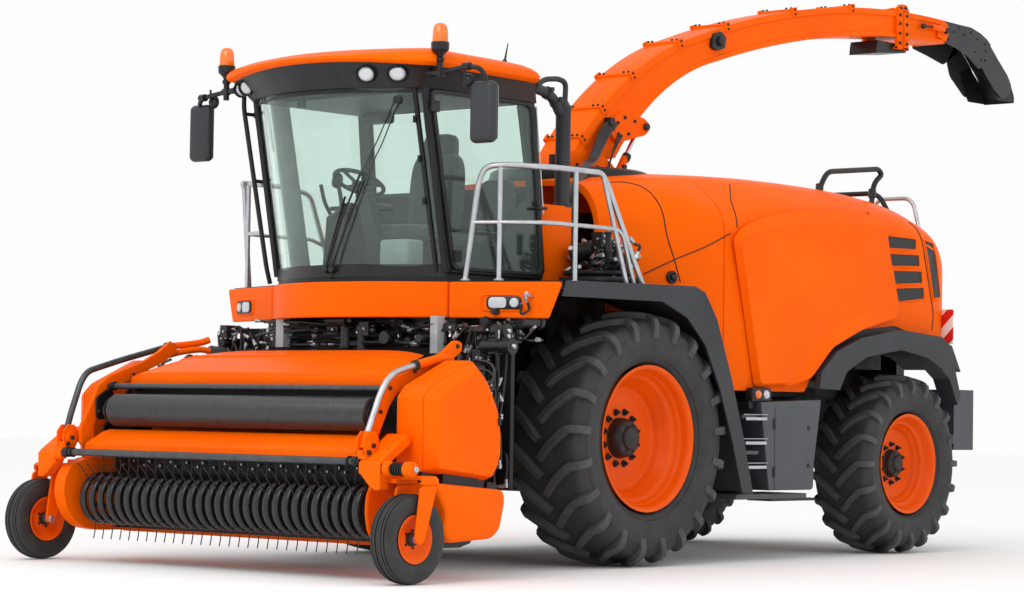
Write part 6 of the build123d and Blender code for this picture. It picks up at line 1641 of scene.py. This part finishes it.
def makeSpout():
    # The chute is one section carried along its two lines; ribs, flanges, bolts and brackets stand on it
    outer, inner = spoutLines()
    half = spout["half"]
    # The section, as (x, share): a crowned outer wall, a flange, a web set back, a lower flange, the inner wall
    side = [(half - 0.012, -0.012), (half, 0.0), (half, 0.20), (half - 0.016, 0.225), (half - 0.018, 0.82),
            (half - 0.004, 0.845), (half - 0.002, 0.985), (half - 0.014, 1.0)]
    profile = side + [(-x, share) for x, share in side[::-1]]
    rows = [np.column_stack([np.full(len(outer), x), outer * (1 - share) + inner * share]) for x, share in profile]
    shell = grid(np.stack(rows, 1), closeColumns=True, capEnds=True)
    addPiece("chute_shell", shell, "spout", orange, smooth=30, bevel=0.002,
             replaces=("spout_sides", "spout_walls"))
    ribs, nuts = [], []
    for y in (0.70, 0.953, 1.337, 1.97, 2.62, 3.6, 4.5):
        t = spoutAt(y)
        ahead = spoutPoint(t + 0.004, 0, 0) - spoutPoint(t - 0.004, 0, 0)
        ahead /= np.linalg.norm(ahead)
        out = np.array([0, -ahead[2], ahead[1]])
        foot = spoutPoint(t, 0, 0) + out * 0.004
        rib, lug = ([tuple((foot + ahead * a + out * b)[1:]) for a, b in corners] for corners in
                    (((-0.012, -0.01), (-0.012, 0.012), (-0.004, 0.02), (0.02, 0.02), (0.028, 0.012), (0.028, -0.01)),
                     ((-0.028, -0.05), (-0.028, 0.028), (0.045, 0.028), (0.045, -0.05))))
        ribs.append(slab(rib, -half - 0.006, 2 * half + 0.012))
        for x in (-half - 0.004, half + 0.004):
            ribs.append(slab(lug, x - 0.008, 0.016))
        nuts.append(bolts([foot + ahead * 0.008 + out * 0.02 + (x, 0, 0) for x in (-0.15, -0.11, 0.10, 0.15)], out,
                          0.011, 0.013))
        nuts.append(bolts([foot + ahead * 0.008 + out * b + (half + 0.012, 0, 0) for b in (-0.032, 0.008)], (1, 0, 0),
                          0.010, 0.012))
    bracket = [(1.035, 3.44), (1.10, 3.53), (1.21, 3.61), (1.30, 3.585), (1.41, 3.575), (1.50, 3.565), (1.555, 3.52),
               (1.55, 3.46), (1.49, 3.42), (1.395, 3.401), (1.25, 3.36), (1.127, 3.336)]
    loop = roundedLoop(bracket, 0.03, 4)
    ribs += [slab(loop, 0.162, 0.034), roundedSlab([(1.38, 3.455), (1.50, 3.44), (1.57, 3.49), (1.60, 3.70),
                                                    (1.45, 3.63)], 0.03, 0.055, 0.02)]
    ribs.append(disc(0.014, 0.055, (0.185, 1.50, 3.495), (1, 0, 0), 28))
    spots = ((1.08, 3.44), (1.16, 3.40), (1.23, 3.55), (1.14, 3.50), (1.28, 3.42), (1.36, 3.53))
    nuts.append(bolts([(0.196, y, z) for y, z in spots], (1, 0, 0), 0.014, 0.016))
    nuts.append(turned([(0, 0.0), (0, 0.03), (0.03, 0.03), (0.034, 0.026), (0.034, 0.0)], (0.196, 1.50, 3.495),
                       (1, 0, 0), 20))
    top, low = 4.905, 4.545
    for y0, y1, grow in ((5.235, 5.30, 0.018), (5.345, 5.42, 0.018), (5.295, 5.35, 0.008)):
        ribs.append(slab([(y0, low), (y1, low), (y1, top), (y0, top)], 0.165, 0.015 + grow))
        ribs.append(slab([(y0, low), (y1, low), (y1, top), (y0, top)], -0.18 - grow, 0.015 + grow))
        ribs.append(slab([(y0, top - 0.012), (y1, top - 0.012), (y1, top + grow), (y0, top + grow)], -0.18 - grow,
                         0.36 + 2 * grow))
        ribs.append(slab([(y0, low), (y1, low), (y1, low + 0.02), (y0, low + 0.02)], -0.18 - grow, 0.36 + 2 * grow))
    ribs.append(roundedSlab([(5.21, 4.88), (5.30, 4.965), (5.40, 4.968), (5.44, 4.92), (5.42, 4.88)], 0.02, 0.15,
                            0.035))
    ribs.append(slab([(5.05, 4.875), (5.24, 4.895), (5.24, 4.93)], 0.12, 0.03))
    nuts.append(bolts([(0.197, y, z) for y in (5.268, 5.382) for z in (4.60, 4.69, 4.78, 4.86)], (1, 0, 0), 0.015,
                      0.016))
    nuts.append(bolts([(0.186, 5.29, 4.925), (0.186, 5.37, 4.93)], (1, 0, 0), 0.016, 0.018))
    nuts.append(bolts([(x, 5.32, 4.918) for x in (-0.12, 0.0, 0.12)], (0, 0, 1), 0.014, 0.014))
    ears = [roundedSlab([(5.93, 4.74), (6.0, 4.90), (6.10, 4.88), (6.14, 4.80), (6.08, 4.70)], 0.02, 0.165, 0.02)]
    addPiece("chute_fittings", join(*ribs, *ears), "spout", orange, bevel=0.003,
             replaces=("spout_fittings",))
    ram = turned([(0, 0.0), (0, 0.024), (0.02, 0.027), (0.20, 0.027), (0.21, 0.02), (0.21, 0.0)], (0.208, 5.80, 4.81),
                 (0, 1, -0.03), 18)
    addPiece("deflector_ram_barrel", ram, "spout", orange, smooth=45)
    steel = [tube([(0.208, 5.66, 4.80), (0.208, 5.82, 4.81)], 0.011),
             disc(0.016, 0.024, (0.205, 5.66, 4.80), (1, 0, 0), 20),
             disc(0.02, 0.028, (0.205, 6.06, 4.80), (1, 0, 0), 20)]
    addPiece("chute_bolts", join(*nuts, *steel), "spout", castIron, smooth=35)
    clamp = [roundedSlab([(2.40, 4.25), (2.42, 4.37), (2.53, 4.40), (2.60, 4.35), (2.58, 4.26), (2.48, 4.23)], 0.02,
                         0.158, 0.04),
             turned([(0, 0.0), (0, 0.042), (0.03, 0.042), (0.034, 0.03), (0.034, 0.0)], (0.19, 2.51, 4.315), (1, 0, 0),
                    24)]
    box = [slab([(4.965, 4.555), (4.955, 4.478), (5.45, 4.53), (5.45, 4.60), (4.98, 4.60)], -0.15, 0.30)]
    holders = [boxShape((0.17, 1.0, 3.47), (0.235, 1.06, 3.53)), boxShape((0.02, 0.49, 3.08), (0.06, 0.55, 3.2))]
    addPiece("chute_clamp_and_box", join(*clamp, *box, *holders), "spout", absBlack, bevel=0.004)


def plateWithBolts(outline, x, depth, places, radius):
    # A rounded plate across x and the bolt heads on its outer face
    loop = roundedLoop(outline, 0.025, 4)
    return slab(loop, x, depth), bolts([(x + depth, *place) for place in places], (1, 0, 0), radius, 0.01)


def makeDeflector():
    # Two side plates and a bent cover, twice: for the deflector and for its tip
    outline = [(6.094, 4.893), (6.53, 4.888), (6.70, 4.853), (6.852, 4.794), (6.866, 4.726), (6.70, 4.50),
               (6.60, 4.545), (6.50, 4.60), (6.308, 4.655), (6.055, 4.70)]
    near, heads = plateWithBolts(outline, 0.168, 0.012, [(6.234, 4.812), (6.41, 4.805), (6.527, 4.839), (6.647, 4.789),
                                                         (6.787, 4.757), (6.609, 4.658), (6.722, 4.60), (6.131, 4.732),
                                                         (6.13, 4.83), (6.32, 4.86)], 0.010)
    far = roundedSlab([(6.094, 4.893), (6.53, 4.888), (6.852, 4.794), (6.85, 4.70), (6.60, 4.56), (6.30, 4.62),
                       (6.055, 4.66)], 0.025, -0.18, 0.012)
    line = roundedPath([(0, 6.02, 4.905), (0, 6.53, 4.893), (0, 6.86, 4.795), (0, 6.90, 4.77)], 0.15, 8)[:, 1:]
    cover = grid(np.stack([np.insert(line - (0, low), 0, x, axis=1) for x, low in
                           ((-0.172, 0.004), (0.172, 0.004), (0.172, 0.016), (-0.172, 0.016))]), closeRows=True)
    addPiece("deflector_plates", join(near, far, cover), "deflector", plasticGrey, bevel=0.002,
             replaces=("deflector",))
    addPiece("deflector_bolts", heads, "deflector", castIron, smooth=30)
    tip = [(6.80, 4.775), (6.865, 4.77), (7.02, 4.64), (7.214, 4.492), (7.285, 4.40), (7.27, 4.33), (7.179, 4.273),
           (7.085, 4.262), (6.976, 4.33), (6.80, 4.47), (6.70, 4.56), (6.72, 4.70)]
    nearTip, tipHeads = plateWithBolts(tip, 0.168, 0.010, [(6.80, 4.69), (6.79, 4.60)], 0.012)
    farTip = roundedSlab([(6.80, 4.775), (6.865, 4.77), (7.10, 4.58), (7.21, 4.42), (7.196, 4.37), (7.08, 4.285),
                          (6.98, 4.285), (6.72, 4.46), (6.66, 4.60)], 0.03, -0.178, 0.010)
    line = roundedPath([(0, 6.86, 4.785), (0, 7.09, 4.60), (0, 7.27, 4.44), (0, 7.355, 4.30), (0, 7.352, 4.245)], 0.12,
                       8)[:, 1:]
    back = grid(np.stack([np.insert(line - (by, by), 0, x, axis=1) for x, by in
                          ((-0.166, 0.0), (0.166, 0.0), (0.166, 0.008), (-0.166, 0.008))]), closeRows=True)
    cheeks = [slab([(7.07, 4.57), (7.27, 4.42), (7.352, 4.30), (7.352, 4.245), (7.04, 4.242), (6.96, 4.36),
                    (6.90, 4.50)], x, 0.006)
              for x in (0.158, -0.166)]
    addPiece("tip_plates", join(nearTip, farTip), "deflector_tip", plasticGrey, bevel=0.002,
             replaces=("deflector_tip",))
    addPiece("tip_liner", join(back, *cheeks), "deflector_tip", coatBlack, smooth=40, bevel=0.001)
    addPiece("tip_bolts", tipHeads, "deflector_tip", castIron, smooth=30)


def makeSpoutRoot():
    # The turntable's ring with its teeth and bolts, the cylinder's gland, and the hoses up to the chute
    collar = turned([(2.73, 0.30), (2.73, 0.338), (2.97, 0.338), (2.98, 0.325), (2.995, 0.325), (3.0, 0.335),
                     (3.04, 0.335), (3.045, 0.30), (2.96, 0.28)], turntableAxis, (0, 0, 1), 72)
    teeth = 96
    turn = np.arange(teeth * 4) * 2 * math.pi / (teeth * 4)
    radius = 0.325 + 0.010 * (np.arange(teeth * 4) % 4 < 2)
    edge = np.stack([np.cos(turn) * radius, turntableAxis[1] + np.sin(turn) * radius], -1)
    gear = slab(edge, 2.96, 0.035, 2)
    cheeks = [roundedSlab([(0.46, 3.08), (0.46, 3.16), (0.52, 3.22), (0.66, 3.24), (0.95, 3.22), (1.10, 3.14),
                           (1.12, 3.05)], 0.04, x, 0.016) for x in (0.186, -0.202)]
    addPiece("turntable_ring", join(collar, *cheeks), "turntable", orange, bevel=0.002,
             replaces=("turntable",))
    addPiece("turntable_gear", gear, "turntable", castIron, smooth=25)
    boltCount, boltCircle = 24, 0.30
    places = [(boltCircle * math.cos(a), turntableAxis[1] + boltCircle * math.sin(a), 3.04)
              for a in np.arange(boltCount) * 2 * math.pi / boltCount]
    addPiece("turntable_bolts", join(bolts(places, (0, 0, 1), 0.012, 0.014),
                                     bolts([(0.202, y, 3.12) for y in (0.52, 0.62, 0.74, 0.88, 1.0)], (1, 0, 0), 0.013,
                                           0.014)),
             "turntable", castIron, smooth=30)
    fittings = [turned([(-0.03, 0.0), (-0.03, 0.036), (0.0, 0.04), (0.03, 0.036), (0.03, 0.0)], (0.115, 1.355, 3.235),
                       (0, 0.59, 0.80), 22), boxShape((0.135, 1.27, 3.13), (0.165, 1.31, 3.17))]
    addPiece("spout_ram_gland", join(*fittings), "spout_ram_barrel", castIron, bevel=0.002)
    upper, lower = [], []
    hosePitch = 0.021
    for k in range(5):
        a = hosePitch * (k - 2)
        upper.append(hose([(0.205, 1.09 + a * 0.6, 3.50 - a * 0.5), (0.215, 0.98 + a, 3.43 - a * 0.5),
                           (0.235, 0.87 + a, 3.31 - a * 0.3),
                           (0.28, 0.74 + a, 3.18), (0.36, 0.60 + a, 3.13), (0.44, 0.47 + a, 3.105)], 0.0125))
        lower.append(hose([(0.44, 0.47 + a, 3.105), (0.55, 0.28 + a, 3.0), (0.66, 0.06 + a, 2.90),
                           (0.73, -0.045 + a * 0.9, 2.74),
                           (0.735, -0.06 + a, 2.50), (0.73, -0.06 + a, 2.12)], 0.0125))
    addPiece("spout_hoses_upper", join(*upper), "turntable", hoseRubber, smooth=60)
    addPiece("spout_hoses_lower", join(*lower), "chassis", hoseRubber, smooth=60)
    small = [hose([(0.205, 1.19, 3.40), (0.215, 1.10, 3.30), (0.20, 1.04, 3.16), (0.19, 1.06, 3.02)], 0.008, 8),
             hose([(0.205, 1.15, 3.42), (0.225, 1.06, 3.28), (0.21, 1.02, 3.14), (0.2, 0.98, 3.02)], 0.008, 8)]
    addPiece("ram_hoses", join(*small), "turntable", hoseRubber, smooth=60)


makeSpout()
makeDeflector()
makeSpoutRoot()
print("spout made")


def clutter(low, high, count, seed):
    # Seeded pipework in a box of space: bent hoses, flanged cylinders and blocks, with bright unions at their ends
    pick = np.random.default_rng(seed)
    low, high = np.array(low, float), np.array(high, float)
    dark, bright = [], []
    for k in range(count):
        start = pick.uniform(low, high)
        kind = k % 5
        axis = np.eye(3)[pick.integers(3)]
        if kind < 3:
            steps = pick.uniform(-1, 1, (3, 3)) * (high - low) * 0.33
            knots = np.clip(start + np.cumsum(np.vstack([np.zeros(3), steps]), 0), low, high)
            radius = pick.uniform(0.007, 0.014)
            dark.append(hose(knots + pick.uniform(-0.004, 0.004, knots.shape), radius, 7))
            for end, way in ((knots[0], knots[1] - knots[0]), (knots[-1], knots[-2] - knots[-1])):
                if np.linalg.norm(way) > 0.03:
                    bright.append(turned([(-0.01, 0.0), (-0.01, radius * 1.5), (0.02, radius * 1.5),
                                          (0.022, radius * 1.15),
                                          (0.05, radius * 1.15), (0.05, 0.0)], end, way, 8))
        elif kind == 3:
            radius = pick.uniform(0.02, 0.05)
            length = pick.uniform(0.06, 0.14)
            dark.append(turned([(-length, 0.0), (-length, radius), (-length * 0.8, radius * 1.15),
                                (-length * 0.6, radius),
                                (length * 0.7, radius), (length * 0.72, radius * 1.2), (length, radius * 1.2),
                                (length, 0.0)],
                               start, axis, 14))
            bright.append(bolts([start + axis * length], axis, radius * 0.4, 0.02))
        else:
            half = pick.uniform(0.02, 0.06, 3)
            dark.append(boxShape(start - half, start + half))
            bright.append(bolts([start + (half[0], 0, half[2] * 0.4), start + (half[0], 0, -half[2] * 0.4)], (1, 0, 0),
                                0.010, 0.014))
            bright.append(bolts([start + (half[0] * 0.3, -half[1], 0)], (0, -1, 0), 0.011, 0.016))
    return join(*dark), join(*bright)


machinery = dict(
    underDeckLeft=((0.98, -1.74, 0.62), (1.44, -1.60, 1.74), 62, 11),
    underDeckRight=((-1.44, -1.74, 0.70), (-0.98, -1.60, 1.74), 40, 12),
    underCab=((-0.92, -1.79, 1.62), (0.92, -1.64, 1.80), 48, 13),
    besideFender=((1.10, -1.50, 1.66), (1.50, -1.22, 1.98), 26, 14),
    pumpBay=((0.92, -0.36, 2.11), (1.36, 0.0, 2.46), 34, 15),
    pumpBayRight=((-1.36, -0.36, 2.11), (-0.92, 0.0, 2.46), 22, 16))


def makeMachinery():
    # Pipework in every box of space, the walls behind it, two motors and two deck posts
    dark, bright = [], []
    for low, high, count, seed in machinery.values():
        pipes, unions = clutter(low, high, count, seed)
        dark.append(pipes)
        bright.append(unions)
    addPiece("pipework", join(*dark), "chassis", hoseRubber, smooth=50)
    addPiece("pipe_unions", join(*bright), "chassis", tubeSteel, smooth=40)
    plates = [boxShape((1.30, -1.60, 0.60), (1.47, -1.56, 1.60)), boxShape((-1.47, -1.60, 0.60), (-1.30, -1.56, 1.60)),
              boxShape((-0.95, -1.62, 1.30), (0.95, -1.58, 2.04)), boxShape((0.50, -1.60, 0.5), (1.30, -1.56, 1.75)),
              boxShape((-1.30, -1.60, 0.5), (-0.50, -1.56, 1.75))]
    motor = [turned([(-0.14, 0.0), (-0.14, 0.09), (-0.11, 0.11), (0.07, 0.11), (0.09, 0.085), (0.13, 0.08),
                     (0.15, 0.05), (0.15, 0.0)], (1.18, -0.10, 2.26), (0.3, -1, 0.1), 30),
             turned([(-0.10, 0.0), (-0.10, 0.07), (0.08, 0.07), (0.10, 0.05), (0.10, 0.0)], (1.02, -0.26, 2.36),
                    (1, 0.3, 0.2), 26)]
    motor += [tube([(0.95, -0.45, 2.13), (1.35, -0.42, 2.13), (1.42, -0.10, 2.13)], 0.03, 0.1),
              tube([(0.95, -0.40, 2.19), (1.3, -0.36, 2.19), (1.36, -0.10, 2.19)], 0.022, 0.1)]
    addPiece("bulkheads", join(*plates, *motor), "chassis", coatBlack, smooth=35, bevel=0.004)
    posts = [boxShape((0.87, -1.80, 1.55), (0.94, -1.72, 1.82)), boxShape((-0.70, -1.80, 1.60), (-0.62, -1.72, 1.82))]
    addPiece("deck_posts", join(*posts), "chassis", coatPale, bevel=0.004)


makeMachinery()
print("machinery made")
